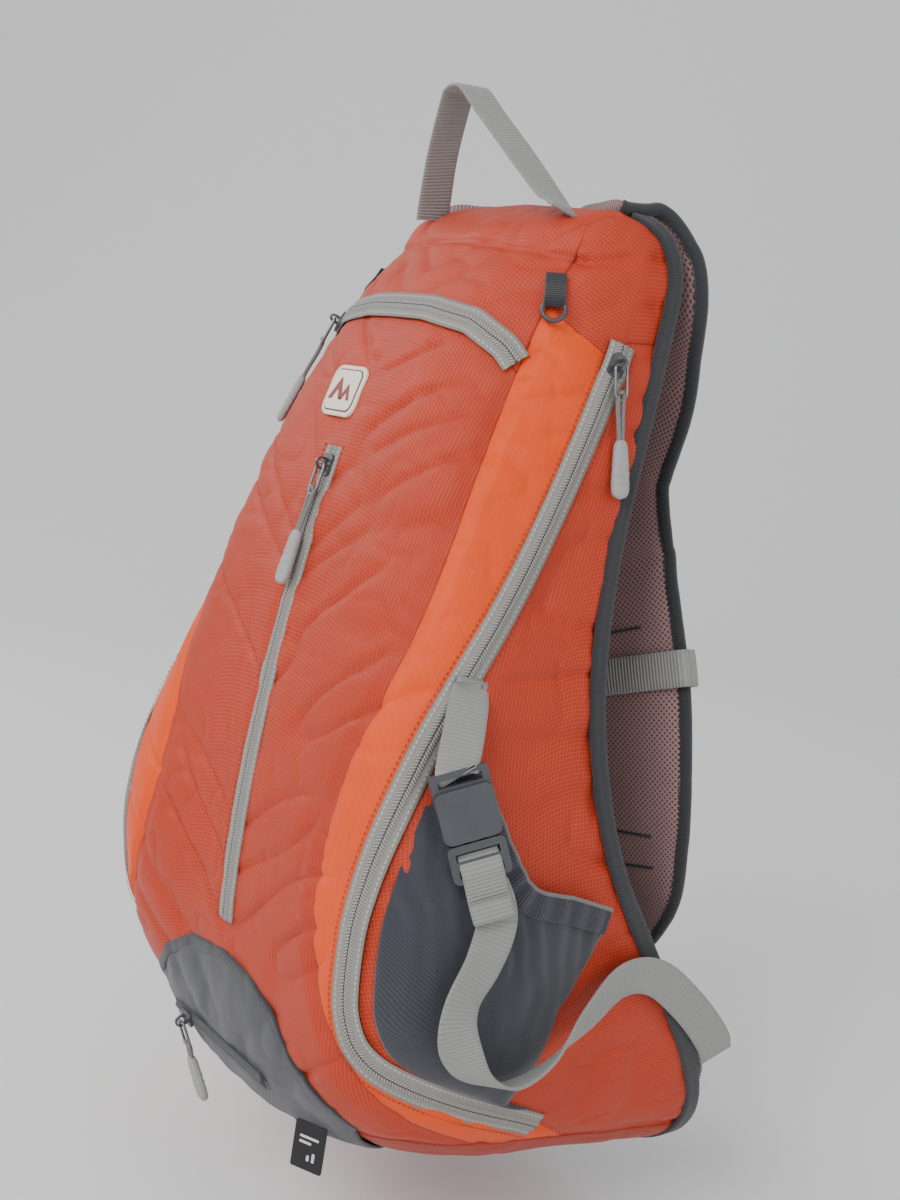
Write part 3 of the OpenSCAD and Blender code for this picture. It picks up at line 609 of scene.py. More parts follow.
def bottom_panel():
    t = np.linspace(-1, 1, int(160 * FINE))
    mid = back(0, 0)
    ring = surf(t, 0 * t, -.5)
    rows = [lerp(ring, mid, k) - [0, 0, 2.0 * np.sin(np.pi * k)] for k in (.96, .75, .5, .25, .1)]
    rows += [surf(t, 0 * t + v, -.3) for v in np.linspace(0, V_LOW + .003, int(30 * FINE))]
    q = np.array(rows)
    # the bottom panel takes the darker red copy as painted shade of the underside
    return sheet_grid("bottom_panel_cloth", q, RED_SHADED, uv=cloth_uv(q, q), thick=1.3, replaces=("bottom_panel",), slot="ripstop_red")


top_panel()
bottom_panel()


def back_panel():
    s, v = np.meshgrid(np.linspace(-.995, .995, int(90 * FINE)), np.linspace(0, 1, int(180 * FINE)))
    p = back(s, v)
    p[..., 1] += 1.2 * fbm(p / 1000 * [20, 1, 14]) + 1.5 * (1 - s ** 4)
    return sheet_grid("back_panel_cloth", p, LINING, uv=cloth_uv(p, p), thick=1.3, replaces=("back_panel",), slot="lining_fabric")


back_panel()


def cushion(name, x0, x1, z0, z1, node=None):
    """Foam pad under spacer mesh: crowned, with a sewn flat edge and a channel."""
    n, m = int(90 * FINE), int(44 * FINE)
    a, b = np.meshgrid(np.linspace(0, 1, m), np.linspace(0, 1, n))
    z = lerp(z0, z1, b)
    vs = np.linspace(0, 1, 400)
    bz = back(0 * vs, vs)
    y = np.interp(z, bz[:, 2], bz[:, 1])
    x = lerp(x1, x0, a)
    corner = 14 * (1 - np.sqrt(np.clip(1 - (np.abs(2 * b - 1) ** 10), 0, 1)))
    x = x + np.sign(.5 - a) * -corner * np.abs(2 * a - 1)
    d = np.minimum(np.minimum(a, 1 - a) * abs(x1 - x0), np.minimum(b, 1 - b) * (z1 - z0))
    h = 2.6 + 6.6 * np.clip((d - 4) / 12, 0, 1) ** .6
    h -= 3.0 * np.exp(-((b - .5) * (z1 - z0) / 3) ** 2) * (d > 4)
    h += .35 * noise(np.stack([x / 9, z / 9, 0 * x], -1))
    h = np.where(d < .5, .6, h)
    p = np.stack([x, y + h, z], -1)
    ob = sheet_grid(name, p, SPACER, uv=cloth_uv(p, p), thick=1.0,
                    replaces=(node,) if node else (), slot="spacer_mesh")
    return ob


cushion("back_pad_upper_r", 16, 70, 205, 385, "back_pads")
cushion("back_pad_upper_l", -70, -16, 205, 385)
cushion("back_pad_lumbar", -80, 80, 75, 175)

for nm, o, mat, a, b, w in (("foam_sheet", -4, FOAM, .2, .92, .84), ("hydration_sleeve", -14.4, LINING, .24, .72, .78)):
    s, v = np.meshgrid(np.linspace(-w, w, 24), np.linspace(a, b, 50))
    p = back(s, v, o)
    p[..., 1] += .5 * fbm(p / 1000 * [15, 1, 12])
    sheet_grid(nm + "_piece", p, mat, thick=3.0 if nm == "foam_sheet" else 1.0, replaces=(nm,),
               slot="foam" if nm == "foam_sheet" else "lining_fabric")


def back_binding():
    vs = 1 - np.linspace(0, 1, 70) * .985
    right = back(-1 + 0 * vs, vs) + [.8, 1, 0]
    foot = back(np.linspace(-.93, .93, 40), np.zeros(40) + .004) + [0, 1, -1.4]
    left = right[::-1] * [-1, 1, 1]
    p = np.concatenate([right, foot, left])
    k = np.ones(5) / 5
    q = np.stack([np.convolve(np.pad(p[:, i], 2, mode="edge"), k, "valid") for i in range(3)], 1)
    lat = np.tile([0, 1.0, 0], (len(q), 1))
    swept("back_edge_binding", q, lat, 10 + .6 * noise(q / 9), flat_section(3.0, .2, 4, .5), BINDING,
          replaces=("back_binding",), slot="binding_tape")
    tan, l, n = frames(q, lat)
    stitches("back_edge_stitch", q + n * 2.0 - l * 2.6, n, THREAD_DARK)


back_binding()

# ---------------------------------------------------------------- zippers
ZIP_SECTION = [(-1, -.2), (-1, .35), (-.55, .55), (-.4, .8), (-.36, 1.35), (-.15, 1.75), (-.03, 1.55), (0, 1.25),
               (.03, 1.55), (.15, 1.75), (.36, 1.35), (.4, .8), (.55, .55), (1, .35), (1, -.2), (0, -.3)]


def zip_strip(name, t, v, mat, node, width=15.0, body="pack", lift=1.5, wrinkle=1.0, path=None, slot="zipper_tape"):
    p = surf(t, v, lift, wrinkle=wrinkle) if path is None else path
    n = normal(t, v)
    k = np.ones(5) / 5
    p = np.stack([np.convolve(np.pad(p[:, i], 2, mode="edge"), k, "valid") for i in range(3)], 1)
    lat = np.cross(unit(np.gradient(p, axis=0)), n)
    ob = swept(name, p, lat, width, ZIP_SECTION, mat, replaces=(node,), slot=slot)
    tan, l, nn = frames(p, lat)
    return ob, p, l, nn


tt = np.linspace(-.55, .55, int(160 * FINE))
zip_strip("arc_zip", tt, smooth_table(np.abs(tt), ARC), TAPE, "arc_zip_tape")
tt = np.linspace(.325, .632, int(140 * FINE))
_, fp, fl, fn = zip_strip("front_zip", 0 * tt, tt, TAPE, "front_zip_tape")
vv = np.linspace(.195, .735, int(240 * FINE))
for side, sign in (("r", 1), ("l", -1)):
    _, zp, zl, zn = zip_strip(f"side_zip_{side}", sign * smooth_table(vv, ZIP), vv, TAPE, f"side_zip_tape_{side}")
    for e in (-1, 1):
        stitches(f"side_zip_stitch_{side}_{'ab'[e > 0]}", zp + zl * e * 9.2 + zn * .55, zn, THREAD)
for e in (-1, 1):
    stitches(f"front_zip_stitch_{'ab'[e > 0]}", fp + fl * e * 9.0 + fn * .5, fn, THREAD)

# ---------------------------------------------------------------- rain cover pocket
def rain_pocket():
    s, r = np.meshgrid(np.linspace(0, 1, int(110 * FINE)), np.linspace(0, 1, int(60 * FINE)))
    t = (2 * s - 1) * .44
    v = lerp(.02, smooth_table(np.abs(t), RAIN_TOP), r)
    g = 1.9 + 8.6 * np.sin(np.pi * s) ** .7 * np.sin(np.pi * r) ** .8
    p = surf(t, v, g + .9 * noise(np.stack([t * 20, v * 30, 0 * t], -1)), wrinkle=.5)
    sheet_grid("rain_pocket_cloth", p, SLATE, uv=cloth_uv(p, p), thick=1.2, replaces=("rain_pocket", "rain_cover"), slot="slate_fabric")
    edge = surf(t[-1], v[-1], 1.6, wrinkle=.5)
    n = normal(t[-1], v[-1])
    swept("rain_pocket_edge", edge, np.cross(unit(np.gradient(edge, axis=0)), n), 8, flat_section(1.6, .15, 4, .3), BINDING, slot="binding_tape")


rain_pocket()
RAIN_V, RAIN_OFF = .2, 10.2
tt = np.linspace(-.24, .24, int(60 * FINE))
rp = raw(tt, 0 * tt + RAIN_V) + normal(tt, 0 * tt + RAIN_V) * (RAIN_OFF + .2)
swept("rain_zip", rp, -np.cross(normal(tt, 0 * tt + RAIN_V), [1.0, 0, 0]), 10, ZIP_SECTION, TAPE_DARK,
      replaces=("rain_zip_tape",), slot="zipper_tape")

# ---------------------------------------------------------------- side pockets
def pocket_height(v):
    return np.maximum(np.sin(np.pi * np.clip((v - .225) / .265 * .96, 0, 1)), 0) ** .6


def side_pocket(side, sign):
    s, r = np.meshgrid(np.linspace(0, 1, int(110 * FINE)), np.linspace(0, 1, int(150 * FINE)))
    v = lerp(.225, .49, r)
    a = smooth_table(v, ZIP) + .045
    b = np.maximum(table(v, POCKET), a + .02)
    hem = np.clip((v - .35) / .045, 0, 1)
    seam = np.sin(np.pi * s) ** .7
    mouth = np.sin(np.pi / 2 * np.clip(s * 1.3, 0, 1))
    g = 1.5 + 8 * pocket_height(v) * lerp(seam, mouth, hem)
    t = lerp(a, b, s)
    base = raw(t, v)
    gath = np.sin(base[..., 1] * .55 + 2.2 * noise(base / 22) + base[..., 2] * .05) * .8 * np.clip(1.2 - np.abs(r - .75) * 2.5, 0, 1)
    sag = 1.8 * fbm(base / 1000 * [30, 34, 22] + 9)
    if sign < 0:
        t = -t
    p = raw(t, v) + normal(t, v) * (g + gath + sag * seam + .4)[..., None]
    if sign < 0:
        p = p[:, ::-1]
    ob = sheet_grid(f"side_pocket_{side}_mesh", p, MESH, uv=cloth_uv(p, p), thick=.9, replaces=(f"side_pocket_{side}",), slot="stretch_mesh")
    hp = spline([[.62, .478], [.665, .458], [.712, .425], [.75, .405], [.84, .396], [.92, .386]], np.linspace(0, 1, int(90 * FINE)))
    q = raw(sign * hp[:, 0], hp[:, 1]) + normal(sign * hp[:, 0], hp[:, 1]) * (3.4 + 8 * pocket_height(hp[:, 1]))[:, None]
    n = normal(sign * hp[:, 0], hp[:, 1])
    across = sign * np.cross(n, unit(np.gradient(q, axis=0)))
    q = q + across * -5
    q = q + n * (.5 * np.sin(np.linspace(0, 70, len(q))))[:, None]
    lat = sign * np.cross(unit(np.gradient(q, axis=0)), n) * sign
    swept(f"pocket_hem_{side}_band", q, lat, 13, flat_section(1.8, .12, 6, .5), HEM, replaces=(f"pocket_hem_{side}",), slot="stretch_mesh")
    edge = q + across * 6.6 + n * .2
    tube(f"pocket_edge_{side}", edge, 1.1, HEM_EDGE, slot="webbing")


for side, sign in (("r", 1), ("l", -1)):
    side_pocket(side, sign)

# ---------------------------------------------------------------- small builders
def frame_at(p, y, z):
    z = unit(np.asarray(z, float))
    x = unit(np.cross(y, z))
    return np.asarray(p, float), np.array([x, np.cross(z, x), z])


def put(pts, fr):
    return fr[0] + np.asarray(pts, float) @ fr[1]


def mirror(a):
    return np.asarray(a, float) * [-1, 1, 1]


def web(name, ctrl, dirs, mat, n=90, width=20.0, t=1.6, body="pack", node=(), crown=.1, slot="webbing"):
    u = np.linspace(0, 1, n)
    return swept(name, spline(ctrl, u), unit(spline(dirs, u)), width, flat_section(t, .05, 8, crown), mat,
                 body=body, replaces=node, slot=slot)


def carry(node, mat, bevel=.35):
    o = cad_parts[node]
    o.data.materials.clear()
    o.data.materials.append(mat)
    m = o.modifiers.new("edge", "BEVEL")
    m.width, m.segments, m.limit_method, m.angle_limit = bevel / 1000, 2, "ANGLE", math.radians(40)
    m.harden_normals = False


def block(name, outline, z0, z1, fr, mat, body, bevel=.6, slot=None, holes=()):
    """Plate with an outline given in the frame's own X and Y."""
    k = len(outline)
    vs = [(x, y, z0) for x, y in outline] + [(x, y, z1) for x, y in outline]
    fs = [tuple(range(k))[::-1], tuple(range(k, 2 * k))]
    fs += [(i, (i + 1) % k, k + (i + 1) % k, k + i) for i in range(k)]
    ob = mesh(name, put(vs, fr), fs, mat, body=body, slot=slot, smooth=False)
    m = ob.modifiers.new("edge", "BEVEL")
    m.width, m.segments, m.limit_method = bevel / 1000, 3, "ANGLE"
    return ob


def round_rect(w, l, r, n=5, cx=0.0, cy=0.0):
    out = []
    for sx, sy, a0 in ((1, 1, 0), (-1, 1, 90), (-1, -1, 180), (1, -1, 270)):
        for k in range(n + 1):
            a = math.radians(a0 + 90 * k / n)
            out.append((cx + sx * (w / 2 - r) + r * math.cos(a), cy + sy * (l / 2 - r) + r * math.sin(a)))
    return out


# ---------------------------------------------------------------- grab loop
LOOP = [[-57, -27, 463], [-54, -28, 472], [-42, -33, 497], [-25, -38, 524], [-18, -39.5, 529], [-12, -40, 529.8],
        [-5, -40, 528], [8, -37, 515], [28, -31, 495], [47, -26, 476], [56, -25, 469.5], [66, -27, 465.5]]
LOOP_DIR = [[0, -1, .3], [0, -1, .2], [0, -1, 0], [0, -1, 0], [0, -1, 0], [0, -1, 0], [0, -1, 0], [0, -1, 0],
            [0, -1, 0], [0, -1, .1], [-.1, -1, .3], [-.1, -1, .4]]
web("grab_loop_webbing", LOOP, LOOP_DIR, WEBBING, n=150, node=("grab_loop",))
u = np.linspace(.925, .995, 12)
lp = spline(LOOP, u)
_, ll, ln = frames(lp, unit(spline(LOOP_DIR, u)))
for nm, path in (("a", lp + ll * 7.5), ("b", lp - ll * 7.5), ("c", lp + ll * np.linspace(-7, 7, 12)[:, None]),
                 ("d", lp - ll * np.linspace(-7, 7, 12)[:, None])):
    stitches(f"loop_box_stitch_{nm}", path - ln * 1.0, -ln, THREAD_GREY, pitch=2.2, length=1.7)
    stitches(f"loop_box_stitch_{nm}2", path + ln * 1.0, ln, THREAD_GREY, pitch=2.2, length=1.7)

# ---------------------------------------------------------------- shoulder straps
PAD_C = [[52, 4, 470], [57, 22, 466], [64, 34, 448], [66, 38, 430], [58, 42, 403], [53, 46, 377], [42, 48, 344],
         [40, 47, 322], [48, 45, 290], [57, 42, 270], [75, 41, 219], [82, 43, 177], [85, 46, 138], [87, 50, 109],
         [80, 54, 80]]
PAD_L = [[1, 0, 0], [1, 0, 0], [1, .05, 0], [1, .1, 0], [1, .2, 0], [.98, .22, 0], [.98, .22, 0], [.97, .24, 0],
         [.96, .28, 0], [.95, .3, 0], [.94, .33, 0], [.94, .33, 0], [.94, .33, 0], [.94, .33, 0], [.94, .33, 0]]
PAD_W = np.array([60, 63, 65, 66, 66, 64, 62, 62, 64, 65, 66, 64, 60, 48, 28], float)
LOW = [[80, 55, 86], [79, 56, 70], [79, 57, 56], [83, 58, 46], [94, 63, 36], [108, 70, 24], [116, 72, 12], [118, 68, 2]]
LOW_DIR = [[.95, .3, .1], [.95, .3, .1], [.95, .3, .1], [.92, .3, .2], [.9, .25, .3], [.85, .2, .4], [.8, .2, .5],
           [.8, .2, .5]]


def shoulder(side, sign):
    n = int(170 * FINE)
    u = np.linspace(0, 1, n)
    p, lat, w = spline(PAD_C, u), unit(spline(PAD_L, u)), spline(PAD_W[:, None], u)[:, 0]
    if sign < 0:
        p, lat = mirror(p), mirror(lat) * -1
    tan, l, nn = frames(p, lat)
    front = np.where((nn[:, 1:2] > 0), -nn, nn)     # toward the pack
    cols = np.linspace(-1, 1, 25)
    body = 4.2 * (1 - np.abs(cols) ** 5) ** .5 + .3
    puff = 1 + .10 * noise(np.stack([u * 24, 0 * u, 0 * u], -1))
    rim = np.concatenate([cols, cols[::-1]])
    hgt = np.concatenate([body, -body[::-1]])
    g = p[:, None] + l[:, None] * (rim[None, :, None] * (w[:, None, None] / 2 - 2.0)) \
        + front[:, None] * (hgt[None, :, None] * puff[:, None, None])
    dimple = .35 * noise(g / 11)
    g = g + front[:, None] * (dimple * np.sign(hgt)[None])[..., None]
    k, m = g.shape[:2]
    f = [tuple(x) for x in grid_faces(k, m, wrap=True)] + [tuple(range(m))[::-1], tuple((k - 1) * m + j for j in range(m))]
    vv = np.concatenate([[0], np.cumsum(np.linalg.norm(np.diff(p, axis=0), axis=1))])
    uv = np.stack(np.meshgrid(rim * 31, vv), -1).reshape(-1, 2)
    ob = mesh(f"shoulder_pad_{side}_body", g.reshape(-1, 3), f, SPACER, uv=uv, replaces=(f"shoulder_pad_{side}",), slot="spacer_mesh")
    ob.data.materials.append(RED)
    for q in ob.data.polygons:
        if q.index < len(f) - 2 and (q.index % m) >= 25:
            q.material_index = 1
    for e in (-1, 1):
        path = p + l * e * (w[:, None] / 2 - 2.2)
        swept(f"pad_binding_{side}_{'ab'[e > 0]}", path, lat, 6.6 + .4 * noise(path / 8), [(-1, 1.6), (-.6, 3.0), (.1, 3.3), (.8, 2.2), (1, 0), (.8, -2.2), (.1, -3.3), (-.6, -3.0), (-1, -1.6)][::1] if e > 0 else [(-1, 0), (-.8, 2.2), (-.1, 3.3), (.6, 3.0), (1, 1.6), (1, -1.6), (.6, -3.0), (-.1, -3.3), (-.8, -2.2)],
              BINDING, replaces=(f"pad_binding_{side}",) if e > 0 else (), slot="binding_tape")
        stitches(f"pad_stitch_{side}_{'ab'[e > 0]}", path - l * e * 2.3 + front * 3.3, front, THREAD_DARK)
    for z in (247, 140, 122):
        i = int(np.argmin(np.abs(p[:, 2] - z)))
        for j, (a, b) in enumerate(((-11, 11),)):
            q = p[i] + l[i] * np.linspace(a, b, 9)[:, None] + front[i] * 4.9
            tube(f"bartack_{side}_{z}_{j}", q, .8, THREAD_DARK, sides=8)
    s = 1 if sign > 0 else -1
    ctrl = np.array(LOW, float) * [s, 1, 1]
    dirs = np.array(LOW_DIR, float) * [1, s, s]
    web(f"lower_webbing_{side}", ctrl, dirs, WEBBING, n=80, node=("lower_webbings",) if s > 0 else ())
    # sternum band: closed flat loop round the strap
    bp, br = frame_at([72.6 * s, 41, 226], [-.33 * s, .02, 1], [.31 * s, -.94, .12])
    W, T = 36.4, 6.9
    ring = []
    for cx, cz, a0 in ((1, 1, 0), (-1, 1, 90), (-1, -1, 180), (1, -1, 270)):
        for k2 in range(7):
            a = math.radians(a0 + 15 * k2)
            ring.append((cx * (W - 3.5) + 3.5 * math.cos(a), cz * (T - 3.5) + 3.5 * math.sin(a)))
    ring = np.array(ring + ring[:1])
    ring = resample(np.c_[ring, 0 * ring[:, :1]], 1.2)
    nr = unit(np.c_[np.gradient(ring[:, 1]), -np.gradient(ring[:, 0]), 0 * ring[:, 0]])
    rows = []
    for y, o in ((-10, 0), (-9.6, .8), (-5, .95), (0, 1.0), (5, .95), (9.6, .8), (10, 0), (9.6, -.5), (-9.6, -.5)):
        q = ring + nr * o
        rows.append(np.c_[q[:, 0], 0 * q[:, 0] + y, q[:, 1]])
    g = np.array(rows).transpose(1, 0, 2)
    g = put(g.reshape(-1, 3), (bp, br)).reshape(g.shape)
    k, m = g.shape[:2]
    f = [tuple(x) for x in grid_faces(k, m, wrap=True)] + [((k - 1) * m + j, (k - 1) * m + (j + 1) % m, (j + 1) % m, j) for j in range(m)]
    sv = np.arange(k) * 1.2
    uv = np.stack(np.meshgrid([-10, -9.6, -5, 0, 5, 9.6, 10, 9.6, -9.6], sv), -1).reshape(-1, 2)
    mesh(f"sternum_band_{side}_loop", g.reshape(-1, 3), f, WEBBING, body=f"sternum_{side}", uv=uv, replaces=(f"sternum_band_{side}",), slot="webbing")
    x0 = -14
    zt = -14.2
    tail = put([[x0, 9, -8.1], [x0, 4, -9], [x0, -8, -12], [x0, -20, -14.6], [x0, -32, -16], [x0, -44, zt - 2.4]], (bp, br))
    web(f"sternum_tail_{side}", tail, [br[0]] * 6, WEBBING, n=40, width=15, t=1.4, body=f"sternum_{side}", node=())
    half = block(f"sternum_half_{side}", round_rect(22, 20, 3.5, cx=x0, cy=-52), zt - 5.2, zt - .2, (bp, br), ACETAL, f"sternum_{side}", slot="acetal")
    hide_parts(f"sternum_buckle_{side}")
    for j, dx in enumerate((-7, 0, 7) if side == "r" else (-7.5, 7.5)):
        block(f"sternum_prong_{side}_{j}", round_rect(3.2, 9 if side == "r" else 5, 1.2, cx=x0 + dx, cy=-64.5 if side == "r" else -62.5), zt - 4.2, zt - 1.4, (bp, br), ACETAL,
              f"sternum_{side}", bevel=.4, slot="acetal")


for side, sign in (("r", 1), ("l", -1)):
    shoulder(side, sign)
carry("ladder_locks", ACETAL)

# ---------------------------------------------------------------- compression buckles
COMP = [[151, -104, 152], [153, -100, 142], [154, -99, 132], [156, -106, 116], [157, -117, 98], [158, -118, 80],
        [157, -106, 60], [155, -84, 50], [154, -60, 56], [152, -36, 74], [148, -12, 88], [145, 14, 84], [143, 42, 62],
        [142, 62, 40], [138, 70, 28]]
COMP_DIR = [[.38, .87, .3], [.36, .88, .29], [.25, .92, .25], [.1, .97, .2], [0, .99, .1], [.3, .95, 0],
            [.8, .5, .2], [.9, 0, .3], [.8, -.2, .5], [.3, -.3, .8], [.1, -.2, 1], [.1, .1, 1], [.2, .5, .8],
            [.3, .6, .7], [.3, .6, .7]]
BUCKLE = ([144, -114, 186], [-.2, -.24, .95], [.9, -.42, .08])
for side, s in (("r", 1), ("l", -1)):
    m3 = np.array([s, 1, 1.0])
    fr = frame_at(BUCKLE[0], BUCKLE[1], BUCKLE[2])
    q = raw(.622, .51) + normal(.622, .51) * 2.6
    top = fr[0] + unit(np.array(BUCKLE[1])) * 20.3
    path = np.array([q + [-1, 2, 8], q + [0, 0, 1], lerp(q, top, .5) + [1, -.5, 0], top, top - unit(np.array(BUCKLE[1])) * 3])
    dirs = np.array([[-.1, .95, .2], [0, .95, .2], [.2, .93, .25], [.38, .87, .3], [.38, .87, .3]]) * ([1, 1, 1] if s > 0 else [1, -1, -1])
    web(f"buckle_stub_{side}", path * m3, dirs, WEBBING, n=40, node=("buckle_stubs",) if s > 0 else ())
    carry(f"buckle_female_{side}", ACETAL)
    carry(f"buckle_male_{side}", ACETAL)
    ctrl = np.array(COMP, float) * m3
    d2 = np.array(COMP_DIR, float) * ([1, 1, 1] if s > 0 else [1, -1, -1])
    strap = web(f"compression_webbing_{side}", ctrl, d2, WEBBING, n=170, body=None, node=(f"compression_strap_{side}",))
    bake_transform(strap)
    hem = np.array([put([x, y, z], fr) for x, y, z in ((0, -19, .4), (0, -26, 4.4), (0, -33, 3.2), (0, -42, 1.4), (0, -50, 2.0), (0, -50.6, 4.2), (0, -42, 4.0))]) * m3
    web(f"buckle_hem_{side}", hem, [fr[1][0] * m3 * (1 if s > 0 else -1)] * 7, WEBBING, n=60, body=f"buckle_male_{side}", node=())

# ---------------------------------------------------------------- rings
for side, s in (("r", 1), ("l", -1)):
    m3 = np.array([s, 1, 1.0])
    tp, tn = raw(.565, .785) + normal(.565, .785) * .3, normal(.565, .785)
    fr = frame_at(tp, [0, 0, 1], tn)
    path = np.array([put(a, fr) for a in ((0, 10, 1.2), (0, 4, 1.4), (0, -2, 1.4), (0, -6.2, 1.8), (0, -7.6, 3.6), (0, -5.4, 5.6), (0, -1, 4.8), (0, 4, 3.4), (0, 10, 2.6))]) * m3
    web(f"ring_tab_{side}_loop", path, [fr[1][0] * m3 * s] * 9, BINDING, n=60, width=10.5, t=1.1,
        node=("ring_tabs",) if s > 0 else (), slot="binding_tape")
    carry(f"ring_{side}", ACETAL, bevel=.1)

# ---------------------------------------------------------------- sliders and pulls
def pull(name, node, body, p, y, z, k=1.0, lean=(0, 0, 0)):
    z = np.asarray(z, float)
    fr = frame_at(np.asarray(p, float) + unit(z) * 5, y, z + lean)
    half, link = 3.6, 17.0
    a = np.linspace(0, np.pi, 14)
    loop = [(-half, 0, 0), (half, 0, 0)] + [(half * math.cos(b), half - link - half * math.sin(b), 0) for b in a]
    pts = [loop[0], (0, .1, 0), loop[1]]
    right = [(half, -x, 0) for x in np.linspace(.8, link - half, 8)]
    arc = [(half * math.cos(b), -(link - half) - half * math.sin(b), 0) for b in a[1:-1]]
    left = [(-half, -x, 0) for x in np.linspace(link - half, .8, 8)]
    tube(f"{name}_link", put([(-half + .8, 0, 0), (0, 0, 0), (half - .8, 0, 0), *right, *arc, *left], fr), .78, WIRE, sides=10, closed=True, body=body, slot="pull_rubber")
    end = -66 * k
    cord = []
    for sx in (1, -1):
        ys = np.linspace(end + 26, -link + 2.2, 12)
        seg = [(sx * (1.35 - .35 * math.cos(i)), yy, -.1 + .25 * math.sin(i * 2)) for i, yy in zip(np.linspace(0, 3, 12), ys)]
        cord += seg if sx > 0 else seg[::-1]
    bend = [(.9, -link + 3.6, .6), (0, -link + 3.9, 1.0), (-.9, -link + 3.6, .6)]
    tube(f"{name}_cord", put(cord[:12] + bend + cord[12:], fr), 1.15, CORD, sides=8, body=body, slot="pull_rubber")
    rows, nseg = [], 26
    for i in range(nseg + 1):
        f = i / nseg
        yy = end + 30 * f
        w = 5.2 * (1 - abs(2 * f - 1) ** 6) ** .5 * (.86 + .14 * math.cos(math.pi * f)) + .15
        th = 2.3 * (1 - abs(2 * f - 1) ** 8) ** .5 + .15 + (.28 * math.cos(f * 44) if .2 < f < .62 else 0)
        rows.append([(w * abs(math.cos(b)) ** .7 * math.copysign(1, math.cos(b)), yy,
                      .2 + th * abs(math.sin(b)) ** .7 * math.copysign(1, math.sin(b))) for b in np.linspace(0, 2 * np.pi, 20, endpoint=False)])
    g = put(np.array(rows).reshape(-1, 3), fr)
    fs = [tuple(x) for x in grid_faces(nseg + 1, 20, wrap=True)] + [tuple(range(20))[::-1], tuple(nseg * 20 + j for j in range(20))]
    grip = mesh(f"{name}_grip", g, fs, GRIP, body=body, slot="pull_rubber")
    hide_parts(node)


def arc_v(t):
    return table(abs(t), ARC)


side_v = .712
sp = raw(table(side_v, ZIP), side_v) + 1.3 * normal(table(side_v, ZIP), side_v)
sn = normal(table(side_v, ZIP), side_v)
down = np.array([0, 0, 1.0])
pull("side_pull_r", "side_pull_r", "side_r_pull", sp, down, sn)
pull("side_pull_l", "side_pull_l", "side_l_pull", mirror(sp), down, mirror(sn))
fz = normal(0, .618)
pull("front_pull", "front_pull", "front_pull", raw(0, .618) + 1.3 * fz, raw(0, .628) - raw(0, .608), fz)
an = normal(-.45, arc_v(.45))
pull("arc_pull", "arc_pull", "arc_pull", raw(-.45, arc_v(.45)) + 1.8 * an, down, an, lean=(0, -.12, 0))
rn = normal(-.17, RAIN_V)
pull("rain_pull", "rain_pull", "rain_pull", raw(-.17, RAIN_V) + (RAIN_OFF + 1.4) * rn, down, rn, .8, (0, -.25, 0))
for nm in ("arc_slider", "front_slider", "side_slider_r", "side_slider_l", "rain_slider"):
    carry(nm, METAL, bevel=.3)

# ---------------------------------------------------------------- badge and label
bn = normal(-.06, .669)
bf = frame_at(raw(-.06, .669) + bn * 1.2, [0, 0, 1], bn)
badge = block("front_badge_plate", round_rect(32, 28, 6.5, 8), 0, 2.2, bf, CREAM, "pack", bevel=.7, slot="badge_rubber")
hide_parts("front_badge")
for nm, w, h, r, mat in (("line", 27.5, 23.5, 4.6, INK_DARK), ("field", 26, 22, 4.0, CREAM)):
    block(f"front_badge_{nm}", round_rect(w, h, r, 8), 2.2, 2.5 if nm == "line" else 2.8, bf, mat, "pack", bevel=.1, slot="badge_rubber")
for j, (dx, sc) in enumerate(((-4.4, 1.0), (4.6, .72))):
    tri = [(dx - 7 * sc, -5.5), (dx, -5.5 + 12.5 * sc), (dx + 7 * sc, -5.5), (dx + 3.6 * sc, -5.5), (dx, -5.5 + 6.2 * sc), (dx - 3.6 * sc, -5.5)]
    block(f"front_badge_peak_{j}", tri[::-1], 2.8, 3.2, bf, INK, "pack", bevel=.12, slot="badge_rubber")
lf = frame_at(raw(.36, .155) + normal(.36, .155) * 11, [.1, 0, 1], [.5, -.85, 0])
tag = block("side_label_tag", round_rect(18, 26, 1.2, 3, 0, -7), 0, 1.1, lf, LABEL, "pack", bevel=.3, slot="slate_fabric")
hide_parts("side_label")
for j, (w, h, cx, cy) in enumerate(((11, 1.4, 0, -2), (7, 1.4, -2, -5), (1.6, 5, 3.5, -12), (1.6, 3.2, .5, -13))):
    block(f"side_label_mark_{j}", round_rect(w, h, .5, 2, cx, cy), 1.1, 1.4, lf, LABEL_MARK, "pack", bevel=.1, slot="slate_fabric")

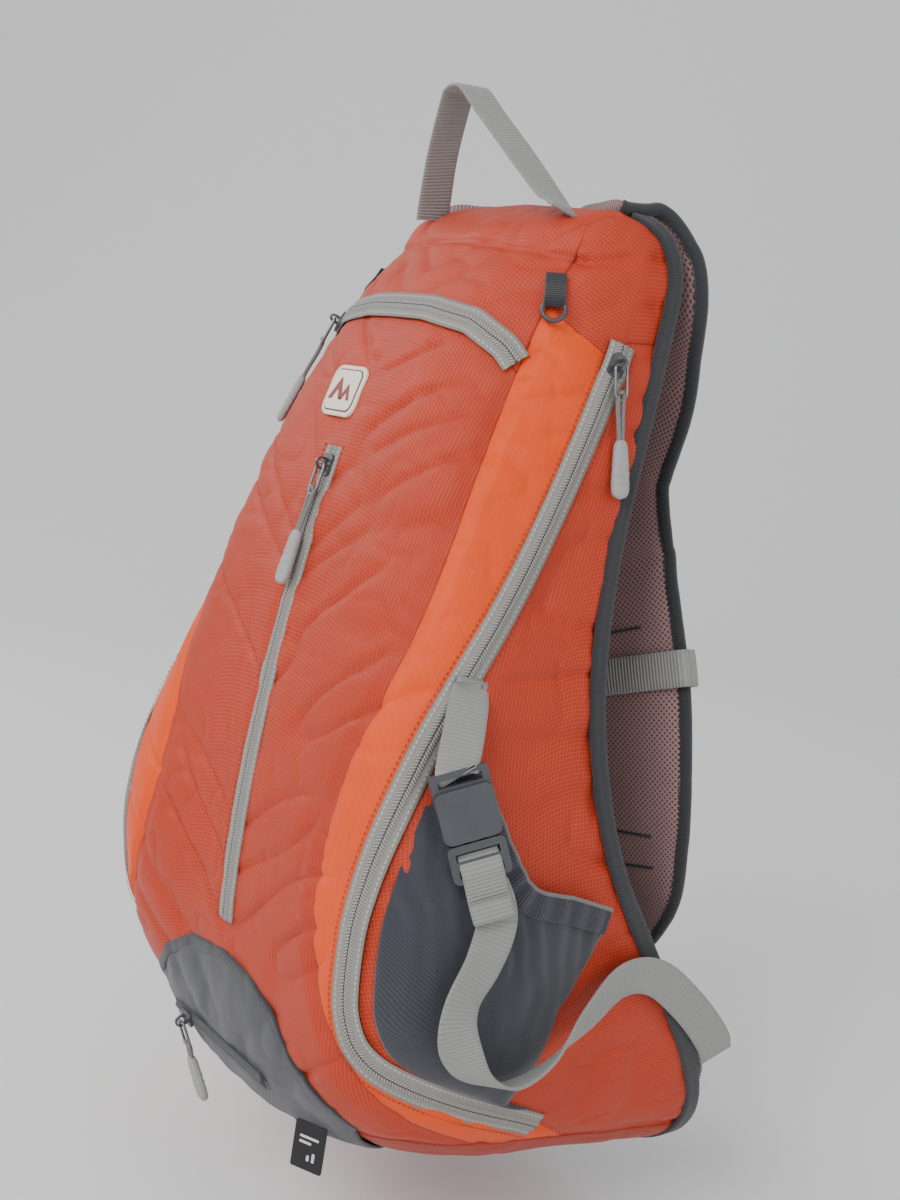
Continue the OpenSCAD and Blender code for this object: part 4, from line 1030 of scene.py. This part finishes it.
# ---------------------------------------------------------------- camera, light, stage
def camera():
    m = np.array([[0.55753453, 0.82633052, 0.0795809], [0.180922, -0.02738978, -0.98311598],
                  [-0.81019903, 0.56251904, -0.16477211]])
    c = (np.array([716.638, -530.778, 402.037]) - HANG) / 1000
    cam = bpy.data.objects.new("camera", bpy.data.cameras.new("camera"))
    bpy.context.scene.collection.objects.link(cam)
    r = Matrix([[m[0][i], -m[1][i], -m[2][i], c[i]] for i in range(3)] + [[0, 0, 0, 1]])
    cam.matrix_world = r
    cam.data.lens, cam.data.sensor_width, cam.data.sensor_fit = 48, 36, "AUTO"
    cam.data.clip_start, cam.data.clip_end = .01, 50
    bpy.context.scene.camera = cam


def area(name, loc, target, size, power, color=(1, 1, 1)):
    d = bpy.data.lights.new(name, "AREA")
    d.shape, d.size, d.energy, d.color = "DISK", size, power, color
    o = bpy.data.objects.new(name, d)
    bpy.context.scene.collection.objects.link(o)
    o.location = loc
    o.rotation_mode = "QUATERNION"
    o.rotation_quaternion = (Vector(target) - Vector(loc)).to_track_quat("-Z", "Y")


def stage():
    me = bpy.data.meshes.new("floor")
    a = np.radians(np.linspace(0, 90, 24))
    back_d = unit(np.array([-.81, .5625]))
    side_d = np.array([.5625, .81])
    prof = [(-7, 0)] + [(1.6 + 1.6 * math.sin(x), 1.6 - 1.6 * math.cos(x)) for x in a] + [(3.2, 7)]
    vs = [(*(back_d * d + side_d * w), -.62 + h) for d, h in prof for w in (-9, 9)]
    me.from_pydata(vs, [], [(2 * i, 2 * i + 1, 2 * i + 3, 2 * i + 2) for i in range(len(prof) - 1)])
    for p in me.polygons:
        p.use_smooth = True
    n = Nodes("floor_pale")
    n.bump(n.noise(300, 3), .05, .0005)
    me.materials.append(n.done((.80, .80, .79), .8))
    ob = bpy.data.objects.new("floor", me)
    bpy.context.scene.collection.objects.link(ob)
    w = bpy.data.worlds.new("studio")
    w.use_nodes = True
    w.node_tree.nodes["Background"].inputs[0].default_value = (.90, .91, .93, 1)
    w.node_tree.nodes["Background"].inputs[1].default_value = .8
    bpy.context.scene.world = w


camera()
stage()
area("key", (.9, -2.0, 1.3), (0, 0, -.3), 1.6, 48)
area("fill", (2.4, -.2, .4), (0, 0, -.3), 1.6, 14)
area("rim", (-1.6, -1.0, .9), (0, 0, -.3), 1.2, 18)
